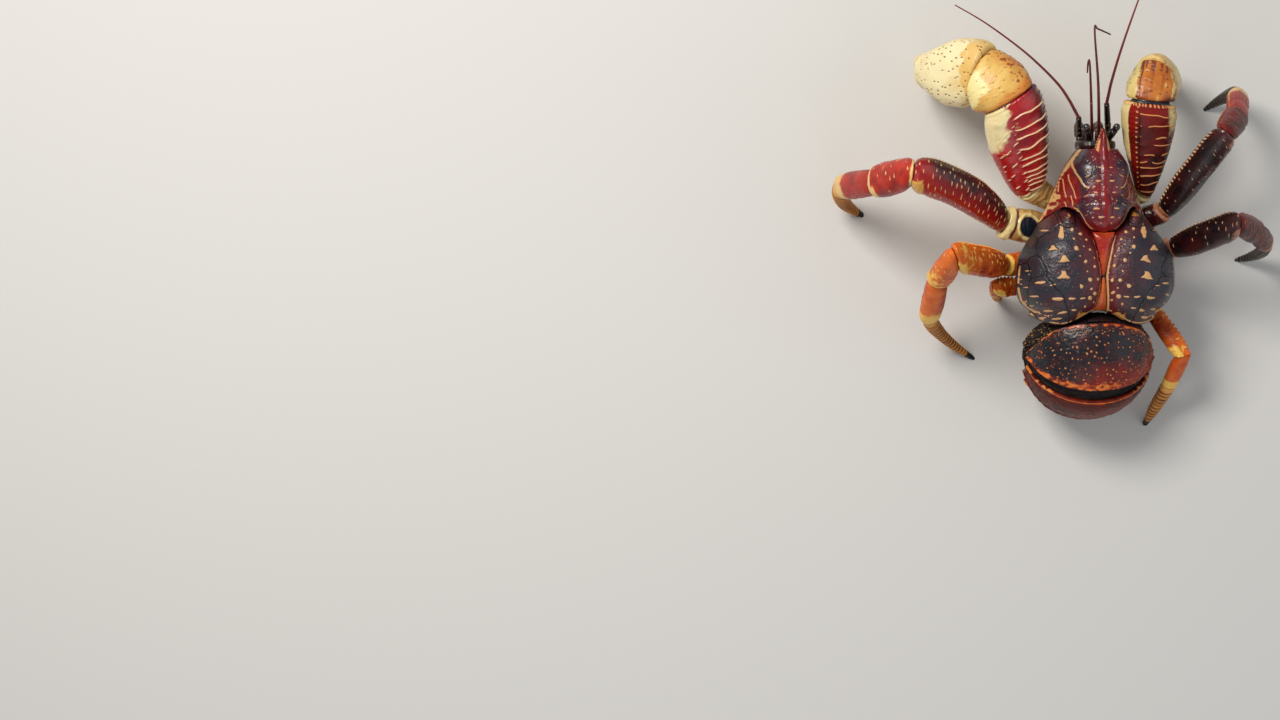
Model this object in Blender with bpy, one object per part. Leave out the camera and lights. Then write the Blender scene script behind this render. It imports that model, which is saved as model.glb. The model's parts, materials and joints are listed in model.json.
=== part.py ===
"""A coconut crab at life size, standing on its leg tips, facing -Y with +X on its own left.

All sizes are millimetres until a mesh is made. Before the last shift the body's middle plane
is X = 0, the rear tip of the shield is Y = 0 and the floor is Z = 0.
"""
import math

import bmesh
import bpy
from mathutils import Vector

# Driving sizes
MM = 0.001
GAP = 0.3
FLOOR = 0.0
CARAPACE_BASE = 60.0
THORAX_TOP = CARAPACE_BASE - GAP
SHIELD_FRONT = -56.0
CARAPACE_REAR = 53.0
REAR_BULGE = 10.0
REAR_BULGE_AT = 26.5
THORAX_REAR = CARAPACE_REAR
FACE_FRONT = -62.0
ABDOMEN_CENTRE = Vector((0.0, 80.0, 45.0))
ABDOMEN_HALF_WIDTH = 45.0
TERGITE_THICKNESS = 2.7

# Clear old objects
for old in list(bpy.data.objects):
    bpy.data.objects.remove(old)

PARTS = bpy.data.collections.new("coconut_crab")
CUTTERS = bpy.data.collections.new("cutters")
for collection in (PARTS, CUTTERS):
    bpy.context.scene.collection.children.link(collection)


# Helpers for curves, rings and meshes
def smooth_value(keys, at):
    """Read a smooth curve through (position, value) pairs, with no overshoot."""
    if at <= keys[0][0]:
        return keys[0][1]
    if at >= keys[-1][0]:
        return keys[-1][1]
    slopes = []
    for left, right in zip(keys, keys[1:]):
        slopes.append((right[1] - left[1]) / (right[0] - left[0]))
    tangents = [slopes[0]]
    for before, after in zip(slopes, slopes[1:]):
        tangents.append(0.0 if before * after <= 0 else 2 * before * after / (before + after))
    tangents.append(slopes[-1])
    index = max(i for i, key in enumerate(keys[:-1]) if key[0] <= at)
    x0, y0 = keys[index][:2]
    x1, y1 = keys[index + 1][:2]
    span = x1 - x0
    t = (at - x0) / span
    return (
        y0 * (2 * t ** 3 - 3 * t ** 2 + 1)
        + tangents[index] * span * (t ** 3 - 2 * t ** 2 + t)
        + y1 * (3 * t ** 2 - 2 * t ** 3)
        + tangents[index + 1] * span * (t ** 3 - t ** 2)
    )


def smooth_step(value):
    value = min(1.0, max(0.0, value))
    return value * value * (3 - 2 * value)


def signed_power(value, power):
    return math.copysign(abs(value) ** power, value)


def spread(first, last, count):
    """Return count even steps from first to last."""
    return [first + (last - first) * i / (count - 1) for i in range(count)]


def finish_mesh(mesh, colour, roughness):
    """Turn faces outward, shade the round stretches and give the object its own material."""
    shaper = bmesh.new()
    shaper.from_mesh(mesh)
    bmesh.ops.recalc_face_normals(shaper, faces=shaper.faces)
    if shaper.calc_volume(signed=True) < 0:
        bmesh.ops.reverse_faces(shaper, faces=shaper.faces)
    shaper.to_mesh(mesh)
    shaper.free()
    mesh.shade_smooth()
    mesh.set_sharp_from_angle(angle=math.radians(45))
    material = bpy.data.materials.new(mesh.name)
    material.use_nodes = True
    shader = material.node_tree.nodes["Principled BSDF"]
    shader.inputs["Base Color"].default_value = (*colour, 1.0)
    shader.inputs["Roughness"].default_value = roughness
    shader.inputs["Metallic"].default_value = 0.0
    mesh.materials.clear()
    mesh.materials.append(material)


def add_object(name, points, faces, colour, roughness=0.35, collection=PARTS):
    """Make one object from points in millimetres."""
    mesh = bpy.data.meshes.new(name)
    mesh.from_pydata([Vector(point) * MM for point in points], [], faces)
    finish_mesh(mesh, colour, roughness)
    made = bpy.data.objects.new(name, mesh)
    collection.objects.link(made)
    if collection is CUTTERS:
        made.hide_render = True
        made.display_type = "WIRE"
    return made


def loft_faces(ring_count, sides):
    """Faces of a tube through rings of equal size, closed by a flat cap at each end."""
    faces = []
    for ring in range(ring_count - 1):
        for side in range(sides):
            a = ring * sides + side
            b = ring * sides + (side + 1) % sides
            faces.append((a, b, b + sides, a + sides))
    faces.append(tuple(range(sides)))
    faces.append(tuple(range((ring_count - 1) * sides, ring_count * sides)))
    return faces


def find_islands(mesh):
    """Return the vertex indices of each connected surface of a mesh, the largest last."""
    shaper = bmesh.new()
    shaper.from_mesh(mesh)
    left = set(shaper.verts)
    islands = []
    while left:
        island = {left.pop()}
        front = list(island)
        while front:
            for edge in front.pop().link_edges:
                for vert in edge.verts:
                    if vert in left:
                        left.discard(vert)
                        island.add(vert)
                        front.append(vert)
        islands.append({vert.index for vert in island})
    shaper.free()
    return sorted(islands, key=len)


def keep_only(mesh, island):
    """Delete all of a mesh except one connected surface."""
    shaper = bmesh.new()
    shaper.from_mesh(mesh)
    drop = [vert for vert in shaper.verts if vert.index not in island]
    bmesh.ops.delete(shaper, geom=drop, context="VERTS")
    shaper.to_mesh(mesh)
    shaper.free()


def apply_boolean(target, others, operation):
    """Join or cut a target with other objects, one after another, and remove them."""
    for other in others:
        step = target.modifiers.new("boolean", "BOOLEAN")
        step.operation = operation
        step.solver = "EXACT"
        step.object = other
        depsgraph = bpy.context.evaluated_depsgraph_get()
        result = bpy.data.meshes.new_from_object(target.evaluated_get(depsgraph))
        target.modifiers.clear()
        replaced = target.data
        target.data = result
        bpy.data.meshes.remove(replaced)
        bpy.data.objects.remove(other)
    return target


# Limb pieces
def limb_piece(name, start, end, start_face, end_face, profile, broad_axis, colour, sides=12,
               stations=8, ridge=0.0, crest=0.0, bow=(0.0, 0.0), squareness=2.3,
               start_gap=GAP / 2, end_gap=GAP / 2, collection=PARTS):
    """Loft one segment of a limb between two joint planes.

    The profile lists (place along the segment, breadth, thickness). Odd stations stand out by
    ridge on the upper face and by crest on the leading edge. Bow bends the middle of the
    segment along its broad and its thick axis.
    """
    start = Vector(start)
    end = Vector(end)
    direction = (end - start).normalized()
    length = (end - start).length
    broad = Vector(broad_axis)
    broad = (broad - broad.dot(direction) * direction).normalized()
    thick = direction.cross(broad)
    if thick.z < 0:
        thick = -thick
    breadths = [(place, breadth) for place, breadth, _ in profile]
    thicknesses = [(place, thickness) for place, _, thickness in profile]
    points = []
    for index, place in enumerate(spread(0.0, 1.0, stations)):
        half_breadth = smooth_value(breadths, place) / 2
        half_thickness = smooth_value(thicknesses, place) / 2
        stands_out = 1.0 if index % 2 == 1 and 0.1 < place < 0.95 else 0.0
        bend = 4 * place * (1 - place)
        for side in range(sides):
            angle = 2 * math.pi * side / sides
            across = signed_power(math.sin(angle), 2 / squareness)
            upward = signed_power(math.cos(angle), 2 / squareness)
            rise = stands_out * ridge * max(0.0, math.cos(angle)) ** 0.5
            lead = stands_out * crest * max(0.0, math.sin(angle)) ** 4
            shift = broad * (across * (half_breadth + lead)) + thick * (upward * half_thickness + rise)
            near = (start_gap - shift.dot(start_face)) / direction.dot(start_face)
            far = length - (end_gap + shift.dot(end_face)) / direction.dot(end_face)
            along = near + (far - near) * place
            centre_line = broad * (bow[0] * bend) + thick * (bow[1] * bend)
            points.append(start + direction * along + shift + centre_line)
    return add_object(name, points, loft_faces(stations, sides), colour, collection=collection)


def joint_faces(joints):
    """Return the plane normal at each joint of a limb, and a level one at its tip."""
    directions = []
    for near, far in zip(joints, joints[1:]):
        directions.append((Vector(far) - Vector(near)).normalized())
    faces = [directions[0]]
    for before, after in zip(directions, directions[1:]):
        faces.append((before + after).normalized())
    faces.append(Vector((0.0, 0.0, -1.0)))
    return faces


def scaled_profile(shape, breadth, thickness):
    return [(place, breadth * share, thickness * share) for place, share in shape]


def socket_cutter(name, joints, faces, profile, broad_axis):
    """The first piece of a limb, larger by the gap all round, to cut its socket."""
    start = Vector(joints[0])
    direction = (Vector(joints[1]) - start).normalized()
    larger = [(place, breadth + 2 * GAP, thickness + 2 * GAP) for place, breadth, thickness in profile]
    return limb_piece(name, start - direction * GAP, joints[1], faces[0], faces[1], larger,
                      broad_axis, (0.5, 0.5, 0.5), stations=5, start_gap=0.0, end_gap=0.0,
                      collection=CUTTERS)


# Section shares along each kind of segment
CLAW_ISCHIUM_SHAPE = [(0.0, 0.62), (0.5, 0.85), (0.9, 1.0), (1.0, 0.92)]
ISCHIUM_SHAPE = [(0.0, 0.78), (0.5, 1.0), (0.9, 0.95), (1.0, 0.8)]
MERUS_SHAPE = [(0.0, 0.6), (0.1, 0.78), (0.4, 1.0), (0.8, 1.0), (0.94, 0.88), (1.0, 0.68)]
CARPUS_SHAPE = [(0.0, 0.7), (0.2, 0.92), (0.6, 1.0), (0.88, 0.97), (1.0, 0.74)]
PROPODUS_SHAPE = [(0.0, 0.76), (0.15, 0.94), (0.5, 1.0), (0.85, 0.92), (1.0, 0.66)]
DACTYL_SHAPE = [(0.0, 0.8), (0.1, 1.0), (0.5, 0.78), (0.85, 0.46), (1.0, 0.24)]

# Walking legs: joints from the socket to the tip, and breadth and thickness of each segment
LEGS = {
    "leg1_left": {
        "joints": [(24, -2, 43), (60, -7, 57), (132, -40, 118), (153, -34.5, 88), (170, -32, 44),
                   (149.3, -13.1, FLOOR)],
        "sizes": [(23, 13), (24.5, 18), (23, 18), (18.5, 15), (12.5, 10)],
        "broad_axes": [(0, -1, 0.2), (0, -0.8, 0.6), (-0.3, -0.9, 0.3), (0, -1, 0), (0, -1, 0)],
        "colours": [(0.62, 0.36, 0.16), (0.30, 0.03, 0.03), (0.52, 0.10, 0.07), (0.45, 0.06, 0.05),
                    (0.45, 0.25, 0.12)],
        "merus_bow": (5.5, 0.0),
        "tip_bow": (0.0, -6.0),
    },
    "leg2_left": {
        "joints": [(26, 19, 42), (59, 22.5, 57), (104, 16, 116), (111, 32, 88), (109.7, 59, 47),
                   (70.6, 88.3, FLOOR)],
        "sizes": [(16, 12.5), (20, 17), (18, 15), (15.6, 13), (9.5, 8.5)],
        "broad_axes": [(0, -1, 0.2), (0, -0.9, 0.5), (-1, -0.2, 0), (-1, 0, 0), (-0.6, -0.8, 0)],
        "colours": [(0.50, 0.20, 0.08), (0.60, 0.17, 0.04), (0.62, 0.24, 0.07), (0.58, 0.15, 0.04),
                    (0.42, 0.18, 0.06)],
        "tip_bow": (-2.0, -6.0),
    },
    "leg1_right": {
        "joints": [(-24, -3, 43), (-52, -14, 57), (-78.5, -64.8, 116), (-94.3, -78, 88),
                   (-106.6, -94, 46), (-95.6, -86, FLOOR)],
        "sizes": [(16, 13), (20, 17), (18, 15), (15.6, 13), (10, 9)],
        "broad_axes": [(0.5, -0.8, 0.2), (0.8, -0.4, 0.4), (0.7, -0.7, 0), (0.7, -0.7, 0), (0.7, -0.7, 0)],
        "colours": [(0.35, 0.12, 0.08), (0.16, 0.02, 0.03), (0.32, 0.10, 0.08), (0.42, 0.20, 0.15),
                    (0.05, 0.04, 0.04)],
        "tip_bow": (0.0, -6.0),
    },
    "leg2_right": {
        "joints": [(-28, 20, 42), (-57, 12, 57), (-88.5, -4.8, 112), (-108.7, 0.7, 84), (-126.8, 8.4, 45),
                   (-118.1, 20.5, FLOOR)],
        "sizes": [(17, 12.5), (20, 16), (17, 14), (14.5, 12), (9.5, 8.5)],
        "broad_axes": [(0, -1, 0.2), (0.2, -0.8, 0.5), (-0.2, -1, 0), (-0.2, -1, 0), (-0.2, -1, 0)],
        "colours": [(0.30, 0.10, 0.08), (0.16, 0.02, 0.03), (0.30, 0.06, 0.04), (0.28, 0.07, 0.05),
                    (0.10, 0.07, 0.05)],
        "tip_bow": (0.0, -6.0),
    },
}
SEGMENT_NAMES = ["ischium", "merus", "carpus", "propodus", "dactyl"]
SEGMENT_SHAPES = [ISCHIUM_SHAPE, MERUS_SHAPE, CARPUS_SHAPE, PROPODUS_SHAPE, DACTYL_SHAPE]
SEGMENT_STATIONS = [5, 15, 7, 7, 8]
SEGMENT_RIDGES = [0.0, 0.5, 0.3, 0.3, 0.0]
SEGMENT_CRESTS = [0.0, 1.2, 0.7, 0.4, 0.0]

cutters = []


def make_leg(name, leg):
    """Make the five segments of a walking leg and the cutter for its socket."""
    joints = leg["joints"]
    faces = joint_faces(joints)
    bow_names = {"merus": "merus_bow", "dactyl": "tip_bow"}
    for index, segment in enumerate(SEGMENT_NAMES):
        breadth, thickness = leg["sizes"][index]
        profile = scaled_profile(SEGMENT_SHAPES[index], breadth, thickness)
        is_tip = index == len(SEGMENT_NAMES) - 1
        limb_piece(f"{name}_{segment}", joints[index], joints[index + 1], faces[index],
                   faces[index + 1], profile, leg["broad_axes"][index], leg["colours"][index],
                   stations=SEGMENT_STATIONS[index], ridge=SEGMENT_RIDGES[index],
                   crest=SEGMENT_CRESTS[index], bow=leg.get(bow_names.get(segment), (0.0, 0.0)),
                   start_gap=0.0 if index == 0 else GAP / 2, end_gap=0.0 if is_tip else GAP / 2)
    profile = scaled_profile(ISCHIUM_SHAPE, *leg["sizes"][0])
    cutters.append((f"{name}_socket", joints, faces, profile, leg["broad_axes"][0]))


for leg_name, leg in LEGS.items():
    make_leg(leg_name, leg)

# Small fourth legs, each in an upper and a lower node
SMALL_LEGS = {
    "leg3_left": {
        "joints": [(23, 37, 42), (46, 37.5, 46), (65, 37, 60), (61, 40, 34), (52, 47, FLOOR)],
        "broad_axes": [(0, -1, 0.3), (0, -1, 0.2), (0, -1, 0), (0, -1, 0)],
        "colours": [(0.36, 0.15, 0.08), (0.30, 0.12, 0.07)],
    },
    "leg3_right": {
        "joints": [(-22, 41, 42), (-47, 56, 47), (-65.5, 85, 57), (-61, 107, 34), (-52.7, 136, FLOOR)],
        "broad_axes": [(-0.7, -0.7, 0), (-1, -0.5, 0), (-1, 0, 0), (-1, 0, 0)],
        "colours": [(0.36, 0.15, 0.08), (0.30, 0.12, 0.07)],
    },
}
SMALL_LEG_SIZES = [(12, 10), (13, 11), (11.5, 10), (10, 8)]


def bent_piece(name, joints, faces, shares, sizes, broad_axes, colour, sides=12, start_gap=GAP / 2,
               end_gap=GAP / 2):
    """Loft one solid through two segments that are fixed to each other at a bend."""
    points = []
    middle_face = (faces[0], faces[1], faces[2])
    for part in range(2):
        start = Vector(joints[part])
        end = Vector(joints[part + 1])
        direction = (end - start).normalized()
        length = (end - start).length
        broad = Vector(broad_axes[part])
        broad = (broad - broad.dot(direction) * direction).normalized()
        thick = direction.cross(broad)
        if thick.z < 0:
            thick = -thick
        breadth, thickness = sizes[part]
        places = spread(0.0, 1.0, 5)
        for place in places if part == 0 else places[1:]:
            share = smooth_value(shares, (place + part) / 2)
            for side in range(sides):
                angle = 2 * math.pi * side / sides
                shift = (broad * (math.sin(angle) * share * breadth / 2)
                         + thick * (math.cos(angle) * share * thickness / 2))
                near_face = middle_face[part]
                far_face = middle_face[part + 1]
                near_gap = start_gap if part == 0 else 0.0
                far_gap = end_gap if part == 1 else 0.0
                near = (near_gap - shift.dot(near_face)) / direction.dot(near_face)
                far = length - (far_gap + shift.dot(far_face)) / direction.dot(far_face)
                points.append(start + direction * (near + (far - near) * place) + shift)
    return add_object(name, points, loft_faces(len(points) // sides, sides), colour)


UPPER_SHARES = [(0.0, 0.7), (0.3, 1.0), (0.5, 0.9), (0.75, 1.0), (1.0, 0.75)]
LOWER_SHARES = [(0.0, 0.8), (0.2, 1.0), (0.5, 0.9), (0.75, 0.8), (1.0, 0.3)]
for name, small in SMALL_LEGS.items():
    joints = small["joints"]
    faces = joint_faces(joints)
    bent_piece(f"{name}_upper", joints[0:3], faces[0:3], UPPER_SHARES, SMALL_LEG_SIZES[0:2],
               small["broad_axes"][0:2], small["colours"][0], start_gap=0.0)
    bent_piece(f"{name}_lower", joints[2:5], faces[2:5], LOWER_SHARES, SMALL_LEG_SIZES[2:4],
               small["broad_axes"][2:4], small["colours"][1], end_gap=0.0)
    profile = scaled_profile([(0.0, 0.7), (0.6, 1.0), (1.0, 0.95)], *SMALL_LEG_SIZES[0])
    cutters.append((f"{name}_socket", joints, faces, profile, small["broad_axes"][0]))

# Claw limbs: the left one is the larger
CLAWS = {
    "cheliped_left": {
        "joints": [(17, -18, 43), (41.3, -31, 58.5), (63.3, -90.2, 96), (80, -106.5, 90), (111, -112.5, 42)],
        "merus": [(0.0, 21, 15), (0.12, 28, 21), (0.35, 36, 27), (0.62, 43, 31), (0.85, 42, 31),
                  (1.0, 36, 27)],
        "carpus": [(0.0, 36, 28), (0.5, 44, 34), (1.0, 38, 31)],
        "palm": [(0.0, 39, 29), (0.2, 47, 34), (0.42, 47, 36), (0.6, 41, 35), (0.8, 31, 31), (0.92, 25, 27),
                 (1.0, 23, 24)],
        "palm_broad": (0.1, -1, 0),
        "finger_tips": [(103, -114, FLOOR), (101, -108, FLOOR)],
        "ischium": (20, 14),
        "ischium_broad": (0.5, 0.8, 0),
        "merus_broad": (0.94, 0.34, 0),
        "carpus_broad": (0.55, 0.8, 0),
    },
    "cheliped_right": {
        "joints": [(-15, -16, 43), (-37, -26.5, 57), (-32.7, -87.2, 96), (-37, -105, 90), (-56, -104, 44)],
        "merus": [(0.0, 11, 11), (0.12, 16, 15), (0.35, 25, 20), (0.62, 33, 24), (0.88, 37, 26),
                  (1.0, 33, 23)],
        "carpus": [(0.0, 31, 22), (0.4, 34, 26), (1.0, 27, 24)],
        "palm": [(0.0, 26, 22), (0.25, 31, 26), (0.5, 30, 27), (0.8, 25, 24), (1.0, 21, 20)],
        "palm_broad": (0.35, -0.94, 0),
        "finger_tips": [(-58, -107, FLOOR), (-58, -101, FLOOR)],
        "ischium": (13, 12),
        "ischium_broad": (-0.4, 0.9, 0),
        "merus_broad": (1, 0.05, 0),
        "carpus_broad": (1, 0.1, 0),
    },
}
CLAW_COLOURS = {
    "ischium": (0.70, 0.52, 0.30),
    "merus": (0.38, 0.04, 0.04),
    "carpus": (0.75, 0.42, 0.14),
    "palm": (0.80, 0.68, 0.38),
    "dactyl": (0.78, 0.64, 0.36),
}
CLAW_SIDES = 16


def claw_ring(centre, broad, thick, half_breadth, half_thickness, squareness=2.4):
    ring = []
    for side in range(CLAW_SIDES):
        angle = 2 * math.pi * side / CLAW_SIDES
        across = signed_power(math.sin(angle), 2 / squareness)
        upward = signed_power(math.cos(angle), 2 / squareness)
        ring.append(centre + broad * (across * half_breadth) + thick * (upward * half_thickness))
    return ring


def to_level(point, direction, height):
    """Slide a point along a direction to a height."""
    return point + direction * ((height - point.z) / direction.z)


def make_palm(name, claw, face):
    """The palm runs on into the fixed finger, on its rear half, beside a flat seat for the other."""
    start = Vector(claw["joints"][3])
    end = Vector(claw["joints"][4])
    direction = (end - start).normalized()
    length = (end - start).length
    broad = Vector(claw["palm_broad"])
    broad = (broad - broad.dot(direction) * direction).normalized()
    thick = direction.cross(broad)
    if thick.z < 0:
        thick = -thick
    breadths = [(place, breadth) for place, breadth, _ in claw["palm"]]
    thicknesses = [(place, thickness) for place, _, thickness in claw["palm"]]
    points = []
    for place in spread(0.0, 1.0, 9):
        half_breadth = smooth_value(breadths, place) / 2
        half_thickness = smooth_value(thicknesses, place) / 2
        for point in claw_ring(Vector((0, 0, 0)), broad, thick, half_breadth, half_thickness):
            near = (GAP / 2 - point.dot(face)) / direction.dot(face)
            points.append(start + direction * (near + (length - near) * place) + point)
    end_breadth = claw["palm"][-1][1]
    end_thickness = claw["palm"][-1][2]
    finger_half = end_breadth * 0.235
    moving_base = end + broad * (end_breadth * 0.25)
    fixed_base = end - broad * (end_breadth * 0.25)
    sections = [(0.0, 1.0, 1.0), (0.25, 1.02, 0.88), (0.5, 0.92, 0.72), (0.75, 0.66, 0.5),
                (1.0, 0.28, 0.24)]
    tips = [Vector(tip) for tip in claw["finger_tips"]]

    def finger(base, tip, lift, apart):
        rings = []
        for place, breadth_share, thickness_share in sections:
            centre = base.lerp(tip, place)
            bend = 4 * place * (1 - place)
            centre = centre + thick * (bend * 3.0) + broad * (bend * apart)
            half_thickness = end_thickness * 0.42 * thickness_share
            ring = claw_ring(centre, broad, thick, finger_half * breadth_share, half_thickness)
            if place == 0.0:
                ring = [point + direction * lift for point in ring]
            if place == 1.0:
                flat = (tip - base).normalized()
                ring = [to_level(point, flat, FLOOR) for point in ring]
            rings.extend(ring)
        return rings

    fixed = finger(fixed_base, tips[1], 0.0, -1.5)
    points.extend(fixed)
    ring_count = len(points) // CLAW_SIDES
    add_object(f"{name}_palm", points, loft_faces(ring_count, CLAW_SIDES), CLAW_COLOURS["palm"])
    moving = finger(moving_base, tips[0], GAP, 1.5)
    add_object(f"{name}_dactyl", moving, loft_faces(len(sections), CLAW_SIDES), CLAW_COLOURS["dactyl"])


def make_claw(name, claw):
    joints = claw["joints"]
    faces = joint_faces(joints)
    profile = scaled_profile(CLAW_ISCHIUM_SHAPE, *claw["ischium"])
    limb_piece(f"{name}_ischium", joints[0], joints[1], faces[0], faces[1], profile,
               claw["ischium_broad"], CLAW_COLOURS["ischium"], stations=5, start_gap=0.0)
    limb_piece(f"{name}_merus", joints[1], joints[2], faces[1], faces[2], claw["merus"],
               claw["merus_broad"], CLAW_COLOURS["merus"], sides=CLAW_SIDES, stations=19, ridge=1.3,
               crest=0.8)
    limb_piece(f"{name}_carpus", joints[2], joints[3], faces[2], faces[3], claw["carpus"],
               claw["carpus_broad"], CLAW_COLOURS["carpus"], sides=CLAW_SIDES, stations=7)
    make_palm(name, claw, faces[3])
    cutters.append((f"{name}_socket", joints, faces, profile, claw["ischium_broad"]))


for claw_name, claw in CLAWS.items():
    make_claw(claw_name, claw)

# Carapace, made whole and parted by thin cuts along its grooves
OUTLINE = [(-56, 13.5), (-50, 17.8), (-45, 21), (-35, 25.5), (-25, 29.5), (-17, 32.8), (-8, 37), (-2, 41),
           (5, 46), (12, 50.3), (18.6, 53.3), (35.6, 54.8), (45, 52.5), (50, 49), (53, 44)]
DOME_HALF = [(-56, 11), (-50, 14.5), (-44, 17), (-34, 16), (-24, 14.4), (-18, 18), (-10, 17),
             (-5, 13), (-1.5, 9), (0, 4)]
DOME_TOP = [(-56, 98), (-50, 102), (-40, 105.5), (-26, 106), (-18, 109), (-8, 108), (0, 104)]
DOME_EDGE = [(-56, 92), (-44, 97), (-24, 98), (-18, 98.5), (0, 99)]
FLANK_EDGE = [(-56, 84), (-35, 74), (-15, 69)]
INNER_EDGE = [(-17, 24), (-14, 18), (-5, 12), (0, 7.7), (15, 4), (30, 1.2), (42, 3), (55, 4.8)]
LOBE_TOP = [(-17, 84), (-10, 93), (0, 101), (15, 106), (35, 106), (50, 102), (60, 96)]
LOBE_PROFILE = [(0.0, 0.92), (0.12, 0.965), (0.35, 1.0), (0.6, 0.95), (0.8, 0.82), (0.93, 0.6), (1.0, 0.36)]
CARDIAC_TOP = [(0, 103.5), (30, 102), (55, 97)]
GROOVE = [(0, 0.3), (8, -1.2), (12, -5), (18, -14.5), (24, -17), (27.7, -14.7), (31.6, -11.6), (35.5, -8.2),
          (40, -4.5), (60, 8)]
CARDIAC_SIDE = [(-1.2, 8), (2, 7.4), (8, 5.4), (16, 3.6), (24, 2), (30, 1.4), (38, 2), (46, 3.2),
                (56, 4.8), (75, 5.6)]
REAR_DROP = 9.0
KNOB = (22.7, -11.0)


def rear_bend(x):
    """How far the rear margin stands behind its middle at a distance from the middle plane."""
    q = abs(x)
    if q < REAR_BULGE_AT:
        return REAR_BULGE * (0.5 - 0.5 * math.cos(math.pi * q / REAR_BULGE_AT))
    return REAR_BULGE - 0.02 * (q - REAR_BULGE_AT) ** 2


def groove_line(x):
    """Y of the groove behind the shield, at a distance from the middle plane."""
    return smooth_value(GROOVE, abs(x))


GROOVE_LINE = [(x, groove_line(x)) for x in spread(0.0, 60.0, 31)]
CARDIAC_LINE = [(smooth_value(CARDIAC_SIDE, y), y) for y in spread(-1.2, 66.0, 22)]


def distance_to_line(x, y, line):
    nearest = 1e9
    for (ax, ay), (bx, by) in zip(line, line[1:]):
        along = ((x - ax) * (bx - ax) + (y - ay) * (by - ay)) / ((bx - ax) ** 2 + (by - ay) ** 2)
        along = min(1.0, max(0.0, along))
        nearest = min(nearest, math.hypot(x - ax - along * (bx - ax), y - ay - along * (by - ay)))
    return nearest


def shield_height(q, y, half_width):
    """The two-part dome of the shield, and the flank that falls away from its edge."""
    half = smooth_value(DOME_HALF, y)
    edge = smooth_value(DOME_EDGE, y)
    if q < half:
        return edge + (smooth_value(DOME_TOP, y) - edge) * math.sqrt(1 - (q / half) ** 2)
    outward = min(1.0, (q - half) / max(1.0, half_width - half))
    return edge - (edge - smooth_value(FLANK_EDGE, y)) * outward ** 1.3


def rear_height(q, y, half_width):
    """The swollen lobes, and the narrow plate between them."""
    inner = smooth_value(INNER_EDGE, y)
    if q < inner and y > 0:
        height = smooth_value(CARDIAC_TOP, y)
    else:
        outward = min(1.0, max(0.0, (q - inner) / (half_width - inner)))
        top = smooth_value(LOBE_TOP, y)
        height = CARAPACE_BASE + (top - CARAPACE_BASE) * smooth_value(LOBE_PROFILE, outward)
    behind = max(0.0, CARAPACE_REAR + rear_bend(q) - y)
    return height - REAR_DROP * math.exp(-behind / 6.0)


def carapace_height(x, y, half_width):
    """Top of the carapace over a point of its plan."""
    q = abs(x)
    height = shield_height(q, y, half_width) if y < groove_line(q) else rear_height(q, y, half_width)
    valley = math.exp(-(distance_to_line(q, y, GROOVE_LINE) / 2.6) ** 2)
    side_valley = math.exp(-(distance_to_line(q, y, CARDIAC_LINE) / 2.2) ** 2)
    height -= 3.0 * valley + 1.8 * side_valley * (1 - valley)
    return height + 3.0 * math.exp(-(math.hypot(q - KNOB[0], y - KNOB[1]) / 4.0) ** 2)


def plan_point(row, column):
    """Plan of the carapace: rows -1 to 0 end at the groove, rows 0 to 1 at the rear margin.

    Columns run from -1 to 1 over the cardiac plate, and on to -2 and 2 over the lobes.
    """
    q = abs(column)
    y = 0.0
    for _ in range(40):
        half_width = smooth_value(OUTLINE, y)
        inner = smooth_value(CARDIAC_SIDE, y)
        x = inner * q if q <= 1 else inner + (half_width - inner) * (q - 1)
        groove = groove_line(x)
        if row <= 0:
            wanted = SHIELD_FRONT + (groove - SHIELD_FRONT) * (row + 1)
        else:
            wanted = groove + (CARAPACE_REAR + rear_bend(x) - groove) * row
        y += 0.6 * (wanted - y)
    return math.copysign(x, column), y, half_width


def carapace_whole():
    rows = spread(-1.0, 0.0, 12) + spread(0.0, 1.0, 14)[1:]
    outer = spread(1.0, 2.0, 12)
    columns = [-value for value in reversed(outer)] + [-0.5, 0.0, 0.5] + outer
    width = len(columns)
    points = []
    for row in rows:
        for column in columns:
            x, y, half_width = plan_point(row, column)
            points.append((x, y, carapace_height(x, y, half_width)))
    faces = []
    for row in range(len(rows) - 1):
        for column in range(width - 1):
            a = row * width + column
            faces.append((a, a + 1, a + 1 + width, a + width))
    last = len(rows) - 1
    border = [column for column in range(width)]
    border += [row * width + width - 1 for row in range(1, last + 1)]
    border += [last * width + column for column in range(width - 2, -1, -1)]
    border += [row * width for row in range(last - 1, 0, -1)]
    first_base = len(points)
    for index in border:
        x, y, _ = points[index]
        points.append((x * 0.92, 4.0 + (y - 4.0) * 0.96, CARAPACE_BASE))
    count = len(border)
    for index in range(count):
        following = (index + 1) % count
        faces.append((border[index], border[following], first_base + following, first_base + index))
    faces.append(tuple(range(first_base, first_base + count)))
    return add_object("carapace", points, faces, (0.3, 0.05, 0.05))


def wall_cutter(name, line):
    """A thin upright wall along a line of the plan."""
    points = []
    for index, (x, y) in enumerate(line):
        before = Vector(line[max(0, index - 1)])
        after = Vector(line[min(len(line) - 1, index + 1)])
        along = (after - before).normalized()
        side = Vector((-along.y, along.x)) * (GAP / 2)
        for sign in (-1, 1):
            for height in (50.0, 125.0):
                points.append((x + sign * side.x, y + sign * side.y, height))
    faces = []
    for index in range(len(line) - 1):
        a = index * 4
        b = a + 4
        faces += [(a, a + 1, b + 1, b), (a + 2, b + 2, b + 3, a + 3)]
        faces += [(a, b, b + 2, a + 2), (a + 1, a + 3, b + 3, b + 1)]
    end = (len(line) - 1) * 4
    faces += [(0, 2, 3, 1), (end, end + 1, end + 3, end + 2)]
    return add_object(name, points, faces, (0.5, 0.5, 0.5), collection=CUTTERS)


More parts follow.
